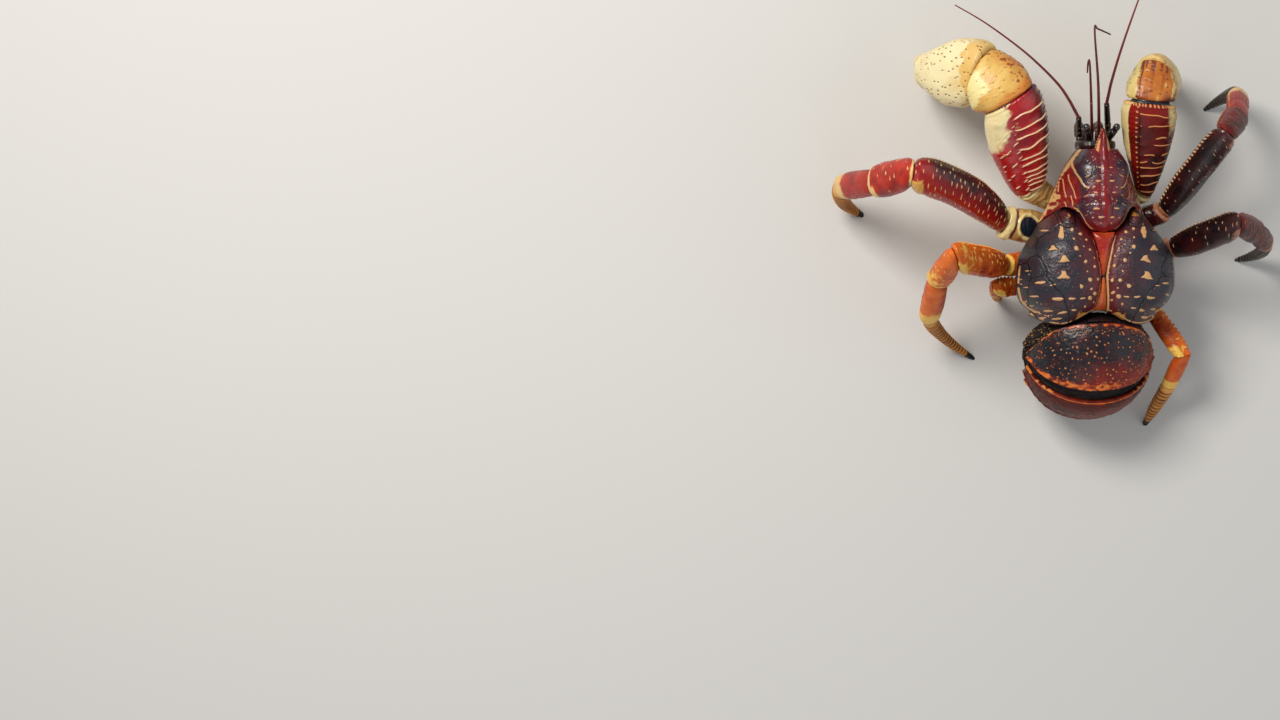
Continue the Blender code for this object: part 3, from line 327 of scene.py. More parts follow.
FINISH = {
    # Painted sheen: the shield's slate-purple deep colour stands in for a reflection on the dome's
    # shoulders.
    "shield": shell_material("crimson_shield", "281C2C", "8A0D12", pale="D2A468", mark="D49C64",
                             pit="100608", mottle=0.3, roughness=0.3),
    "lobe": shell_material("slate_lobe", "24242F", "680E12", mark="D2A06A", pale="CC8A3C", pit="0C090B",
                           mottle=0.35, roughness=0.42, grain=0.9, bump=0.35, coat=0.15),
    "cardiac": shell_material("orange_plate", "A0180C", "D0662A", mark="DDA878", pit="2A0806", mottle=0.1),
    "thorax": shell_material("sternum", "4E160F", "A85C30", mark="D8B070"),
    "face": shell_material("face_shell", "120A0A", "3C0E0E", mark="9A7040"),
    # Painted reflection: this dark purple deep colour is a sheen on the trailing side of the left claw's
    # merus.
    "claw_merus": shell_material("claw_crimson", "58182A", "B81418", pale="EEDCA4", mark="EBC99A",
                                 mottle=0.12, roughness=0.28),
    "claw_dark": shell_material("claw_maroon", "1E0406", "8E1206", pale="E2CC8C", mark="D89458",
                                mottle=0.15, roughness=0.4, coat=0.08, specular=0.3),
    "claw_carpus": shell_material("claw_golden", "CE7A28", "E6BC62", pale="EEDC96", mark="9C4E1A",
                                  pit="5A3214", mottle=0.1, roughness=0.45, coat=0.12, bump=0.35),
    "claw_brown": shell_material("claw_orange_brown", "A04A12", "D8842E", pale="D8C078", mark="5E1A0C",
                                 pit="3A1408", roughness=0.42, coat=0.15),
    "claw_palm": shell_material("claw_cream", "E4BC68", "F4E6B4", pale="E2B868", mark="6A3A1A",
                                pit="6E451A", mottle=0.05, roughness=0.48, coat=0.12, bump=0.35),
    "leg_base": shell_material("leg_base_shell", "8A4014", "DDB468", pale="ECD592", mark="F0DCA0",
                               pit="1A2230", roughness=0.3),
    "leg_red": shell_material("leg_crimson", "300B15", "B4120A", pale="E6AE4C", mark="E6B47C",
                              roughness=0.3),
    "leg_rose": shell_material("leg_rose_red", "7E0E0A", "C4301A", pale="E6BE78", mark="E4AE72",
                               pit="4A0A0A", roughness=0.38, coat=0.15, specular=0.4),
    "leg_orange": shell_material("leg_orange_red", "9E2406", "E8701A", pale="F0BC54", mark="F0B860",
                                 pit="4E0C06", mottle=0.12, roughness=0.4, coat=0.1, specular=0.35),
    # Painted shade: the two dark leg finishes below and the dark dactyl finish are shaded copies of the leg
    # colours, used on the right legs; the first also colours the mouth limbs.
    "leg_dark": shell_material("leg_shaded_maroon_black", "120609", "520D0C", pale="BC7A58", mark="DCA878"),
    "leg_shaded_maroon": shell_material("leg_shaded_maroon", "14050A", "78180E", pale="CC8A5C", mark="B86E44",
                                 roughness=0.4, coat=0.1, specular=0.3),
    "dactyl_tan": shell_material("tan_dactyl", "6A340C", "E0902C", pale="E0A050", mark="6E3A12",
                                 pit="0C0806", roughness=0.45, coat=0.1, specular=0.35),
    "dactyl_shaded_dark": shell_material("shaded_dark_dactyl", "140E0C", "3A2418", pale="8A5A38", mark="5A3A24",
                                  pit="080606"),
    "joint": shell_material("joint_cream_shell", "B8742C", "E8CC80", pale="F0DCA0", mark="F0E0B0",
                            pit="5A2414"),
    "tergite": shell_material("abdomen_plate", "1A1012", "701C08", pale="D0601A", mark="D4803A",
                              pit="0A0606", mottle=0.2, roughness=0.42, bump=0.12, coat=0.05,
                              specular=0.25),
    # Painted sheen: the big plate's slate-grey deep colour stands in for a reflection on one side.
    "tergite_big": shell_material("abdomen_main_plate", "1B161E", "8A2008", pale="D86A1E", mark="D07A38",
                                  pit="0A0606", mottle=0.25, roughness=0.36, coat=0.15, specular=0.35),
    "skin": shell_material("abdomen_skin", "0E0B0C", "261A1A", mark="A8804A", pale="8A4A24", roughness=0.6,
                           grain=1.2, bump=0.7, coat=0.0, specular=0.25),
    "membrane": shell_material("joint_membrane", "14161E", "262A36", mark="3A3E48", roughness=0.3,
                               bump=0.4),
    "feeler": shell_material("feeler_red", "360A0A", "84140F", mark="A84030", roughness=0.38),
    "stalk": shell_material("eye_stalk_black", "080607", "1E0E10", mark="A47A44", roughness=0.22),
}
print(len(FINISH), "shell finishes")

# %% [markdown]
# ## Curves, noise and patterns
#
# The crab's forms are drawn from a few named curves. `curve_through` reads a smooth curve through
# its (place, value) pairs with no overshoot. `grain_noise` is smooth noise over space, and
# `cells` finds the nearest of many scattered centres, for dots and granules.

# %% Curves and noise
FAR = 1e9


def curve_through(keys, at):
    """Read a smooth curve through (place, value) pairs at one or many places."""
    places = np.array([key[0] for key in keys], float)
    values = np.array([key[1] for key in keys], float)
    slopes = np.diff(values) / np.diff(places)
    before, after = slopes[:-1], slopes[1:]
    same_way = before * after > 0
    total = np.where(same_way, before + after, 1.0)
    tangents = np.concatenate(([slopes[0]], np.where(same_way, 2 * before * after / total, 0.0),
                               [slopes[-1]]))
    at = np.clip(at, places[0], places[-1])
    index = np.clip(np.searchsorted(places, at, side="right") - 1, 0, len(slopes) - 1)
    span = places[index + 1] - places[index]
    t = (at - places[index]) / span
    start = (values[index] * (2 * t ** 3 - 3 * t ** 2 + 1)
             + tangents[index] * span * (t ** 3 - 2 * t ** 2 + t))
    return (start + values[index + 1] * (3 * t ** 2 - 2 * t ** 3)
            + tangents[index + 1] * span * (t ** 3 - t ** 2))


def clamp(value):
    return np.clip(value, 0, 1)


def ease(value, low, high):
    """Rise smoothly from 0 at low to 1 at high."""
    t = clamp((value - low) / (high - low))
    return t * t * (3 - 2 * t)


def fall(value, low, high):
    """Fall smoothly from 1 at low to 0 at high."""
    return ease(-value, -high, -low)


def bell(value, centre, width):
    """A smooth hump, 1 at its centre."""
    return np.exp(-((value - centre) / width) ** 2)


def round_bump(distance, radius):
    """A rounded hump, 1 at its middle and 0 from its radius on."""
    return clamp(1 - (distance / radius) ** 2)


def wave(value, period):
    return np.cos(2 * np.pi * value / period)


def column(keys, index):
    """The (place, value) pairs of one column of a table."""
    return [(key[0], key[index]) for key in keys]


def hashed(*whole, seed=0):
    """A steady pseudo-random number from 0 to 1 for whole-number places."""
    total = np.full(np.shape(whole[0]), seed * 7919 + 12345, dtype=np.uint32)
    for index, value in enumerate(whole):
        part = np.asarray(value).astype(np.int64).astype(np.uint32)
        total = (total ^ (part * np.uint32(374761393 + 668265263 * index))) * np.uint32(1274126177)
        total = total ^ (total >> np.uint32(15))
    total = total * np.uint32(2246822519)
    total = total ^ (total >> np.uint32(13))
    return total.astype(np.float64) / 4294967295.0


def grain_noise(points, size, seed=0):
    """Smooth noise between -1 and 1 over points whose last axis is their place."""
    lattice = np.asarray(points, float) / size
    base = np.floor(lattice)
    part = lattice - base
    part = part * part * (3 - 2 * part)
    total = 0.0
    axes = lattice.shape[-1]
    for corner in range(2 ** axes):
        weight = 1.0
        places = []
        for axis in range(axes):
            bit = corner >> axis & 1
            weight = weight * (part[..., axis] if bit else 1 - part[..., axis])
            places.append(base[..., axis] + bit)
        total = total + weight * hashed(*places, seed=seed)
    return total * 2 - 1


def cells(u, w, size, seed=0, jitter=0.8):
    """Distance to the nearest scattered centre, its number from 0 to 1, and the way to it."""
    column, row = np.floor(u / size), np.floor(w / size)
    best = np.full(np.shape(u), FAR)
    number = np.zeros(np.shape(u))
    way_u, way_w = np.zeros(np.shape(u)), np.zeros(np.shape(u))
    for du in (-1, 0, 1):
        for dw in (-1, 0, 1):
            i, j = column + du, row + dw
            centre_u = (i + 0.5 + jitter * (hashed(i, j, seed=seed) - 0.5)) * size
            centre_w = (j + 0.5 + jitter * (hashed(i, j, seed=seed + 1) - 0.5)) * size
            distance = np.hypot(u - centre_u, w - centre_w)
            nearer = distance < best
            best = np.where(nearer, distance, best)
            number = np.where(nearer, hashed(i, j, seed=seed + 2), number)
            way_u = np.where(nearer, u - centre_u, way_u)
            way_w = np.where(nearer, w - centre_w, way_w)
    return best, number, way_u, way_w


def near_line(x, y, line):
    """Distance from each point to a line through listed places."""
    nearest = np.full(np.shape(x), FAR)
    for (ax, ay), (bx, by) in zip(line, line[1:]):
        span = (bx - ax) ** 2 + (by - ay) ** 2
        along = clamp(((x - ax) * (bx - ax) + (y - ay) * (by - ay)) / span)
        nearest = np.minimum(nearest, np.hypot(x - ax - along * (bx - ax), y - ay - along * (by - ay)))
    return nearest


print("noise check", round(float(grain_noise(np.array([[1.0, 2.0, 3.0]]), 5.0)[0]), 3))

# %% [markdown]
# ## Making a piece
#
# Each piece is a grid of points, closed by caps or a base. `add_piece` turns it into a mesh with
# its masks, smooth shading and finish, and hides the plain solid that it stands for.

# %% Piece maker
piece_report = []


def grid_faces(rows, columns, wrap, first=0):
    index = np.arange(rows * columns).reshape(rows, columns) + first
    right = np.roll(index, -1, axis=1) if wrap else index[:, 1:]
    left = index if wrap else index[:, :-1]
    return np.stack((left[:-1], right[:-1], right[1:], left[1:]), -1).reshape(-1, 4).tolist()


def tube_faces(rows, columns):
    """The faces of a tube of rings, with a cap at either end."""
    faces = grid_faces(rows, columns, True)
    faces.append(list(range(columns)))
    faces.append([(rows - 1) * columns + i for i in range(columns)])
    return faces


def set_masks(mesh, masks):
    for name in MASKS:
        values = masks.get(name)
        layer = mesh.attributes.new(name, "FLOAT", "POINT")
        if values is not None:
            layer.data.foreach_set("value", np.ascontiguousarray(values, dtype=np.float32).ravel())


def add_piece(name, points, faces, masks, finish, nodes=()):
    """Make a finished piece from points in millimetres round the body's origin."""
    mesh = bpy.data.meshes.new(name)
    places = np.clip(np.asarray(points, float).reshape(-1, 3) * MM + HOME, *cad_box)
    mesh.from_pydata(places.tolist(), [], faces)
    shaper = bmesh.new()
    shaper.from_mesh(mesh)
    bmesh.ops.recalc_face_normals(shaper, faces=shaper.faces)
    if shaper.calc_volume(signed=True) < 0:
        bmesh.ops.reverse_faces(shaper, faces=shaper.faces)
    shaper.to_mesh(mesh)
    shaper.free()
    set_masks(mesh, masks)
    mesh.shade_smooth()
    mesh.materials.append(FINISH[finish])
    piece = bpy.data.objects.new(name, mesh)
    bpy.context.scene.collection.objects.link(piece)
    declare(piece, nodes)
    return piece


def declare(piece, nodes):
    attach(piece, "root")
    if nodes:
        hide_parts(*nodes)
    piece_report.append((piece.name, sum(len(face.vertices) - 2 for face in piece.data.polygons)))


def blank(points):
    return {name: np.zeros(points.shape[:2]) for name in MASKS}


print("piece maker ready")

# %% [markdown]
# ## The carapace's plan and height
#
# The back is a pointed shield, two swollen lobes behind it and a narrow plate between them. A
# plan point is found by its row, from the front edge over the groove to the rear edge, and its
# column, from the middle over the narrow plate's edge to the margin. The same height curves as
# in the solids are read at far more points.

# %% Carapace curves
CARAPACE_BASE = 60.0
CARAPACE_MIDDLE_Y = 4.0
SKIRT_SHARE = np.array([0.92, 0.96])
SKIRT_STEPS = 8
SHIELD_FRONT = -56.0
CARAPACE_REAR = 53.0
REAR_BULGE, REAR_BULGE_AT = 10.0, 26.5
REAR_DROP = 9.0
OUTLINE = [(-56, 13.5), (-50, 17.8), (-45, 21), (-35, 25.5), (-25, 29.5), (-17, 32.8), (-8, 37), (-2, 41),
           (5, 46), (12, 50.3), (18.6, 53.3), (35.6, 54.8), (45, 52.5), (50, 49), (53, 44)]
DOME_HALF = [(-56, 11), (-50, 14.5), (-44, 17), (-34, 16), (-24, 14.4), (-18, 18), (-10, 17),
             (-5, 13), (-1.5, 9), (0, 4)]
DOME_TOP = [(-56, 98), (-50, 102), (-40, 105.5), (-26, 106), (-18, 109), (-8, 108), (0, 104)]
DOME_EDGE = [(-56, 92), (-44, 97), (-24, 98), (-18, 98.5), (0, 99)]
FLANK_EDGE = [(-56, 84), (-35, 74), (-15, 69)]
INNER_EDGE = [(-17, 24), (-14, 18), (-5, 12), (0, 7.7), (15, 4), (30, 1.2), (42, 3), (55, 4.8)]
LOBE_TOP = [(-17, 84), (-10, 93), (0, 101), (15, 106), (35, 106), (50, 102), (60, 96)]
LOBE_PROFILE = [(0.0, 0.92), (0.12, 0.965), (0.35, 1.0), (0.6, 0.95), (0.8, 0.82), (0.93, 0.6), (1.0, 0.36)]
CARDIAC_TOP = [(0, 103.5), (30, 102), (55, 97)]
GROOVE = [(0, 0.3), (8, -1.2), (12, -5), (18, -14.5), (24, -17), (27.7, -14.7), (31.6, -11.6), (35.5, -8.2),
          (40, -4.5), (60, 8)]
CARDIAC_SIDE = [(-1.2, 8), (2, 7.4), (8, 5.4), (16, 3.6), (24, 2), (30, 1.4), (38, 2), (46, 3.2),
                (56, 4.8), (75, 5.6)]
KNOB = (22.7, -11.0)


def rear_bend(q):
    inside = REAR_BULGE * (0.5 - 0.5 * np.cos(np.pi * q / REAR_BULGE_AT))
    return np.where(q < REAR_BULGE_AT, inside, REAR_BULGE - 0.02 * (q - REAR_BULGE_AT) ** 2)


def groove_at(q):
    return curve_through(GROOVE, q)


GROOVE_LINE = [(x, float(groove_at(x))) for x in np.linspace(0.0, 60.0, 31)]
CARDIAC_LINE = [(float(curve_through(CARDIAC_SIDE, y)), y) for y in np.linspace(-1.2, 66.0, 22)]


def shield_height(q, y, half_width):
    half = curve_through(DOME_HALF, y)
    edge = curve_through(DOME_EDGE, y)
    dome = edge + (curve_through(DOME_TOP, y) - edge) * np.sqrt(round_bump(q, half))
    outward = clamp((q - half) / np.maximum(1.0, half_width - half))
    flank = edge - (edge - curve_through(FLANK_EDGE, y)) * outward ** 1.3
    return np.where(q < half, dome, flank)


def rear_height(q, y, half_width):
    inner = curve_through(INNER_EDGE, y)
    outward = clamp((q - inner) / (half_width - inner))
    top = curve_through(LOBE_TOP, y)
    lobe = CARAPACE_BASE + (top - CARAPACE_BASE) * curve_through(LOBE_PROFILE, outward)
    height = np.where((q < inner) & (y > 0), curve_through(CARDIAC_TOP, y), lobe)
    behind = np.maximum(0.0, CARAPACE_REAR + rear_bend(q) - y)
    return height - REAR_DROP * np.exp(-behind / 6.0)


def carapace_height(x, y, half_width, shield):
    q = np.abs(x)
    height = shield_height(q, y, half_width) if shield else rear_height(q, y, half_width)
    valley = bell(near_line(q, y, GROOVE_LINE), 0.0, 2.6)
    side_valley = bell(near_line(q, y, CARDIAC_LINE), 0.0, 2.2)
    height = height - 3.0 * valley - 1.8 * side_valley * (1 - valley)
    return height + 3.0 * bell(np.hypot(q - KNOB[0], y - KNOB[1]), 0.0, 4.0)


def plan_grid(rows, columns):
    """Plan places of a grid: rows -1 to 0 end at the groove, rows 0 to 1 at the rear margin."""
    row = np.asarray(rows)[:, None] + np.zeros(len(columns))[None, :]
    column = np.asarray(columns)[None, :] + np.zeros(len(rows))[:, None]
    q = np.abs(column)
    y = np.zeros_like(row)
    for _ in range(40):
        half_width = curve_through(OUTLINE, y)
        inner = curve_through(CARDIAC_SIDE, y)
        x = np.where(q <= 1, inner * q, inner + (half_width - inner) * (q - 1))
        groove = groove_at(x)
        front = SHIELD_FRONT + (groove - SHIELD_FRONT) * (row + 1)
        rear = groove + (CARAPACE_REAR + rear_bend(x) - groove) * row
        y = y + 0.6 * (np.where(row <= 0, front, rear) - y)
    return np.copysign(x, column), y, half_width


print("groove reaches", min(y for _, y in GROOVE_LINE), "mm")

# %% [markdown]
# ## Closing a plate
#
# A shell plate is a grid on top, a skirt that curls in under its outer margin, and a flat base.
# Its inner edges go straight down into the groove, rounded off over the last millimetre.

# %% Plate maker
def round_edges(distance, radius, depth):
    """How far a surface drops near an edge that it is rounded into."""
    t = clamp(1 - distance / radius)
    return depth * (1 - np.sqrt(clamp(1 - t * t)))


def add_plate(name, top, masks, outer, finish, node):
    """Close a top grid into a plate. Outer says where the border is the carapace's own margin."""
    rows, columns = top.shape[:2]
    index = np.arange(rows * columns).reshape(rows, columns)
    border = np.concatenate((index[0, :], index[1:, -1], index[-1, -2::-1], index[-2:0:-1, 0]))
    flat = top.reshape(-1, 3)
    edge = flat[border]
    is_outer = outer.reshape(-1)[border][:, None]
    middle = np.array([0.0, CARAPACE_MIDDLE_Y])
    base_plan = middle + (edge[:, :2] - middle) * np.where(is_outer > 0.5, SKIRT_SHARE, 1.0)
    steps = SKIRT_STEPS
    points = [flat]
    faces = grid_faces(rows, columns, False)
    count = len(border)
    ring = border
    for step in range(1, steps + 1):
        s = step / steps
        level = edge[:, 2] + (CARAPACE_BASE - edge[:, 2]) * s
        tuck = s ** 2.2
        plan = edge[:, :2] + (base_plan - edge[:, :2]) * tuck
        points.append(np.column_stack((plan, level)))
        following = np.arange(count) + rows * columns + (step - 1) * count
        for i in range(count):
            j = (i + 1) % count
            faces.append([int(ring[i]), int(ring[j]), int(following[j]), int(following[i])])
        ring = following
    faces.append([int(i) for i in ring])
    fade = np.linspace(1, 0, steps + 1)[1:, None] ** 7
    rough = grain_noise(np.tile(edge, (steps, 1)), 2.4, 61).reshape(steps, count)
    full = {}
    for key, values in masks.items():
        side = values.reshape(-1)[border][None, :] * np.ones((steps, 1))
        if key in ("mark", "pale"):
            side = side * fade
        full[key] = np.concatenate((values.reshape(-1),
                                    clamp(side + 0.15 * rough * (key == "tone")).ravel()))
    return add_piece(name, np.concatenate(points), faces, full, finish, [node])


print("plate maker ready")

# %% [markdown]
# ## Marks on the back
#
# The lobes carry a few large cream triangles, many small dots towards the middle and short
# dashes across the rear, all raised. Thin cracks, the seams between the shell's fields, run
# from the front corner to the rear. The shield's dome has two rows of dashes beside a bright
# red line, and its flanks have long cream streaks.

# %% Places of the marks
LOBE_TRIANGLES = [(34.9, 10.4, 3.8), (28.2, 18.1, 4.8), (28.2, 29.0, 5.2)]
FRONT_PATCH = (28.6, -1.2)
LOBE_DOTS = [(19.9, 10.7, 1.9), (21.8, -1.8, 1.2), (16.3, 0.8, 1.2), (12.1, 5.1, 0.9), (10.1, 11.8, 1.0),
             (13.4, 20.0, 1.3), (6.9, 23.0, 1.2), (21.2, 4.1, 0.8), (10.4, 32.2, 1.6), (4.8, 31.6, 1.3),
             (16.4, 36.5, 1.7), (6.4, 41.4, 1.5), (9.9, 44.6, 1.7), (6.2, 47.2, 0.9), (12.6, 26.5, 0.7),
             (7.5, 17.0, 0.7), (17.0, 15.5, 0.6), (14.5, 9.5, 0.6), (9.0, 38.0, 0.8), (13.0, 50.0, 1.0)]
LOBE_DASHES = [(15.1, 45.6, 2.1), (22.3, 45.1, 3.0), (31.9, 44.8, 4.3), (45.8, 42.1, 2.6),
               (50.2, 36.0, 1.5), (49.4, 24.9, 1.6), (37.9, -1.6, 2.4), (42.7, 33.1, 3.6),
               (35.4, 35.3, 2.2), (49.5, 46.0, 1.7), (46.0, 48.8, 1.6), (35.8, 52.8, 3.0),
               (27.1, 54.1, 3.2), (20.3, 52.9, 2.4), (42.0, 53.6, 2.4), (30.1, 58.6, 3.6),
               (38.5, 57.6, 2.4)]
SUTURES = [
    [(42.9, -9.0), (42.9, 5.6), (44.7, 15.1), (41.2, 20.2), (39.3, 26.3), (39.5, 29.7), (35.1, 35.3),
     (29.0, 42.2), (25.6, 48.7), (22.5, 55.6), (21.2, 62.0)],
    [(42.9, 5.6), (37.7, 1.4), (32.5, -1.6), (29.0, -5.4)],
    [(44.7, 15.1), (48.2, 17.6), (50.3, 20.6), (54.5, 23.0)],
    [(49.5, 21.0), (48.2, 28.8), (49.0, 34.8), (49.5, 42.0), (47.0, 50.0), (40.0, 58.5)],
    [(39.3, 26.3), (42.1, 29.7), (48.0, 30.5)],
    [(29.4, -4.6), (29.6, -12.3), (23.4, -15.6), (18.2, -11.5), (17.6, -5.0), (23.0, -3.4), (29.4, -4.6)],
]
SHIELD_DASHES = [(4.6, -34.1, 2.1), (6.3, -26.4, 1.6), (6.7, -15.7, 2.2), (3.8, -9.9, 2.0),
                 (3.9, -43.4, 1.2), (3.6, -5.9, 0.8), (8.8, -9.6, 0.9), (7.2, -21.0, 0.8),
                 (4.2, -22.0, 0.6), (7.8, -30.2, 0.9), (3.4, -38.2, 0.8), (5.4, -19.0, 0.6)]
FLANK_STREAKS = [
    [(21.6, -39.0), (21.0, -35.2), (20.2, -31.6), (18.9, -27.4), (18.1, -22.6)],
    [(23.8, -36.0), (23.6, -29.0), (22.9, -24.0)],
    [(26.0, -33.0), (26.3, -27.5)],
    [(20.4, -24.6), (20.2, -17.6)],
    [(24.2, -20.6), (22.8, -15.8)],
]
SHOULDER_LINE = [(18.9, -47.4), (19.3, -44.0), (18.2, -39.8), (16.2, -36.2), (15.0, -32.8), (13.4, -30.4),
                 (11.0, -29.6)]
FAINT_DASHES = [(11.4, -38.4, 2.3), (11.0, -48.6, 1.0), (12.6, -43.0, 1.4), (9.6, -46.4, 1.1),
                (7.4, -49.6, 1.0), (12.4, -19.6, 2.0), (12.6, -25.6, 2.0), (6.0, -47.0, 0.9),
                (9.2, -42.0, 0.9), (12.8, -12.8, 1.2)]


def add_bumps(x, y, bumps, height, mark, rise, flat=1.0, shape="round"):
    """Raise listed tubercles. Flat makes them wider across than along the body."""
    for centre_x, centre_y, size in bumps:
        dx, dy = (x - centre_x) / size, (y - centre_y) / (size * flat)
        if shape == "triangle":
            width = 0.28 + 0.95 * clamp((dy + 1) / 2) ** 1.8
            reach = np.maximum(np.abs(dx) / width, np.abs(dy + 0.1) * 1.25)
            lump = clamp(1 - reach ** 2)
        else:
            lump = clamp(1 - dx * dx - (dy + 0.25 * (flat < 1) * dx * dx) ** 2)
        height = np.maximum(height, rise * min(1.0, size / 2.0) * np.sqrt(lump))
        mark = np.maximum(mark, ease(lump, 0.02, 0.4))
    return height, mark


print(len(LOBE_DOTS) + len(LOBE_DASHES) + len(LOBE_TRIANGLES), "tubercles on a lobe")

# %% [markdown]
# ## The two lobes
#
# Each lobe is leathery and slate-blue on top, and runs to maroon beside the narrow plate. At its
# front stands a small rounded knob with a yellow-brown patch in a black frame. The marks are made
# first, then the cracks, the rims and the knob.

# %% Lobes
LOBE_ROWS, LOBE_COLUMNS = 190, 150


def make_lobe(side, sign):
    rows = np.linspace(0.004, 1.0, LOBE_ROWS)
    columns = sign * np.linspace(1.012, 2.0, LOBE_COLUMNS)
    x, y, half_width = plan_grid(rows, columns)
    q = np.abs(x)
    place = np.stack((x, y), -1)
    z = carapace_height(x, y, half_width, False)
    inner = curve_through(CARDIAC_SIDE, y)
    to_inner = q - inner
    to_groove = y - groove_at(q)
    to_rear = CARAPACE_REAR + rear_bend(q) - y
    to_side = half_width - q
    z = (z - round_edges(to_inner, 1.2, 1.0) - round_edges(to_groove, 1.2, 1.0)
         - round_edges(to_rear, 1.6, 1.4))
    spot_x = q + 0.5 * grain_noise(place, 2.6, 3)
    spot_y = y + 0.45 * grain_noise(place, 2.6, 4)
    if sign < 0:
        spot_x = spot_x + 1.6 * grain_noise(place, 16.0, 8)
        spot_y = spot_y + 1.6 * grain_noise(place, 16.0, 9)
    masks = blank(x)
    height = np.zeros_like(x)
    height, mark = add_bumps(spot_x, spot_y, LOBE_TRIANGLES, height, masks["mark"], 0.9, 0.6, "triangle")
    dots = [(dot_x, dot_y, 0.92 * size) for dot_x, dot_y, size in LOBE_DOTS]
    height, mark = add_bumps(spot_x, spot_y, dots, height, mark, 0.8)
    dashes = [(dash_x, dash_y, 0.95 * size) for dash_x, dash_y, size in LOBE_DASHES]
    height, mark = add_bumps(spot_x, spot_y - 0.05 * (q - 30.0), dashes, height, mark, 0.8, 0.27)
    torn_x = spot_x - FRONT_PATCH[0] + 0.9 * grain_noise(place, 1.7, 30)
    long_patch = clamp(1 - (torn_x / (2.0 + 0.16 * (y - FRONT_PATCH[1]))) ** 2
                       - ((spot_y - FRONT_PATCH[1]) / 5.8) ** 4)
    mark = np.maximum(mark, 0.8 * ease(long_patch, 0.1, 0.6))
    height = height + 0.4 * long_patch
    distance, number = cells(x, y, 3.4, seed=11)[:2]
    rough_side = ease(q, 34.0, 54.0) + ease(y, 36.0, 58.0)
    small = round_bump(distance, 0.3 + 0.5 * number) * (number > 0.7)
    height = np.maximum(height, 0.25 * np.sqrt(small))
    mark = np.maximum(mark, small * 0.7 * np.clip(rough_side, 0.1, 1.0))
    wobble_x = q + 0.5 * grain_noise(place, 2.4, 5)
    wobble_y = y + 0.5 * grain_noise(place, 2.4, 6)
    crack = np.full_like(x, FAR)
    for line in SUTURES:
        crack = np.minimum(crack, near_line(wobble_x, wobble_y, line))
    height = height - 0.65 * bell(crack, 0.0, 0.42) + 0.18 * bell(crack, 1.0, 0.5)
    masks["pit"] = bell(crack, 0.0, 0.55)
    uneven = 0.5 + 0.5 * grain_noise(place, 3.0, 23)
    rim = bell(to_side, 0.9, 0.5) + bell(to_rear, 1.3, 0.5)
    second = bell(to_rear - 4.0, 0.8 * uneven, 0.4) * ease(q, 14.0, 26.0)
    second = second * ease(uneven, 0.35, 0.6)
    rim = clamp(rim) * ease(y, 14.0, 30.0) * ease(uneven, 0.12, 0.4)
    height = height + 0.5 * rim + 0.35 * second
    mark = np.maximum(mark, 0.9 * np.maximum(rim, 0.85 * second))
    inner_rim = bell(to_inner, 0.7, 0.42 if sign > 0 else 0.6) * ease(y, 0.0, 3.0)
    height = height + 0.7 * inner_rim
    mark = np.maximum(mark, inner_rim * (0.6 * ease(uneven, 0.2, 0.5) if sign > 0 else 1.0))
    knob = np.hypot(q - KNOB[0], y - KNOB[1]) + 0.4 * grain_noise(place, 2.0, 24)
    corner_line = y + 0.02 * (q - 8.0) ** 2 + 1.6 * grain_noise(place, 2.4, 25)
    tan_corner = ease(corner_line, 54.0, 57.0) * ease(19.0 - q, 0.0, 5.0)
    patch = (0.5 + 0.6 * grain_noise(place, 1.6, 26)) * fall(knob, 1.2, 4.2)
    masks["pale"] = clamp(patch + tan_corner)
    frame_ring = bell(knob, 5.4, 0.8)
    warty = ease(-y, -2.0, 6.0) * ease(knob, 5.6, 6.4)
    distance, number = cells(x, y, 1.7, seed=27)[:2]
    warts = round_bump(distance, 0.6) * (number > 0.3) * warty
    height = height + 0.35 * np.sqrt(warts) + 0.25 * bell(knob, 4.4, 0.5)
    masks["pit"] = np.maximum(masks["pit"], 0.8 * frame_ring)
    mark = np.maximum(mark, 0.45 * warts * (number > 0.6))
    beside = 1.05 * np.exp(-np.maximum(0, q - inner - 2.0) / 8.0)
    streaks = 0.18 * grain_noise(np.stack((x * 0.9 - y * 0.35, y * 0.25 + x * 0.1), -1), 1.6, 28)
    red_spots = 0.5 * ease(-y, -3.0, 8.0) + 0.35 * ease(y, 34.0, 56.0) * uneven
    masks["tone"] = clamp(np.maximum(beside, red_spots) + streaks * ease(q, 8.0, 14.0))
    masks["mark"] = mark * (1 - fall(knob, 4.4, 5.4))
    dimples = 0.07 * grain_noise(place, 0.8, 21) + 0.12 * grain_noise(place, 2.4, 29)
    dimples = dimples + 0.3 * grain_noise(place, 7.0, 22)
    top = np.stack((x, y, z + height + dimples), -1)
    outer = ((np.abs(columns)[None, :] > 1.99) | (rows[:, None] > 0.999)).astype(float)
    return add_plate(f"lobe_{side}", top, masks, outer, "lobe", f"carapace_lobe_{side}")


for side, sign in (("left", 1), ("right", -1)):
    make_lobe(side, sign)
print(piece_report[-2:])

# %% [markdown]
# ## The shield
#
# The shield's middle is a long dome with a bright red ridge, and a painted slate-blue sheen on its
# shoulders. Outside a cream line its flanks fall away, crimson with thin cream lines that run down
# and back, to a ragged cream margin. An orange rim follows the groove behind it.

# %% Shield
SHIELD_ROWS, SHIELD_SIDE_COLUMNS = 190, 110


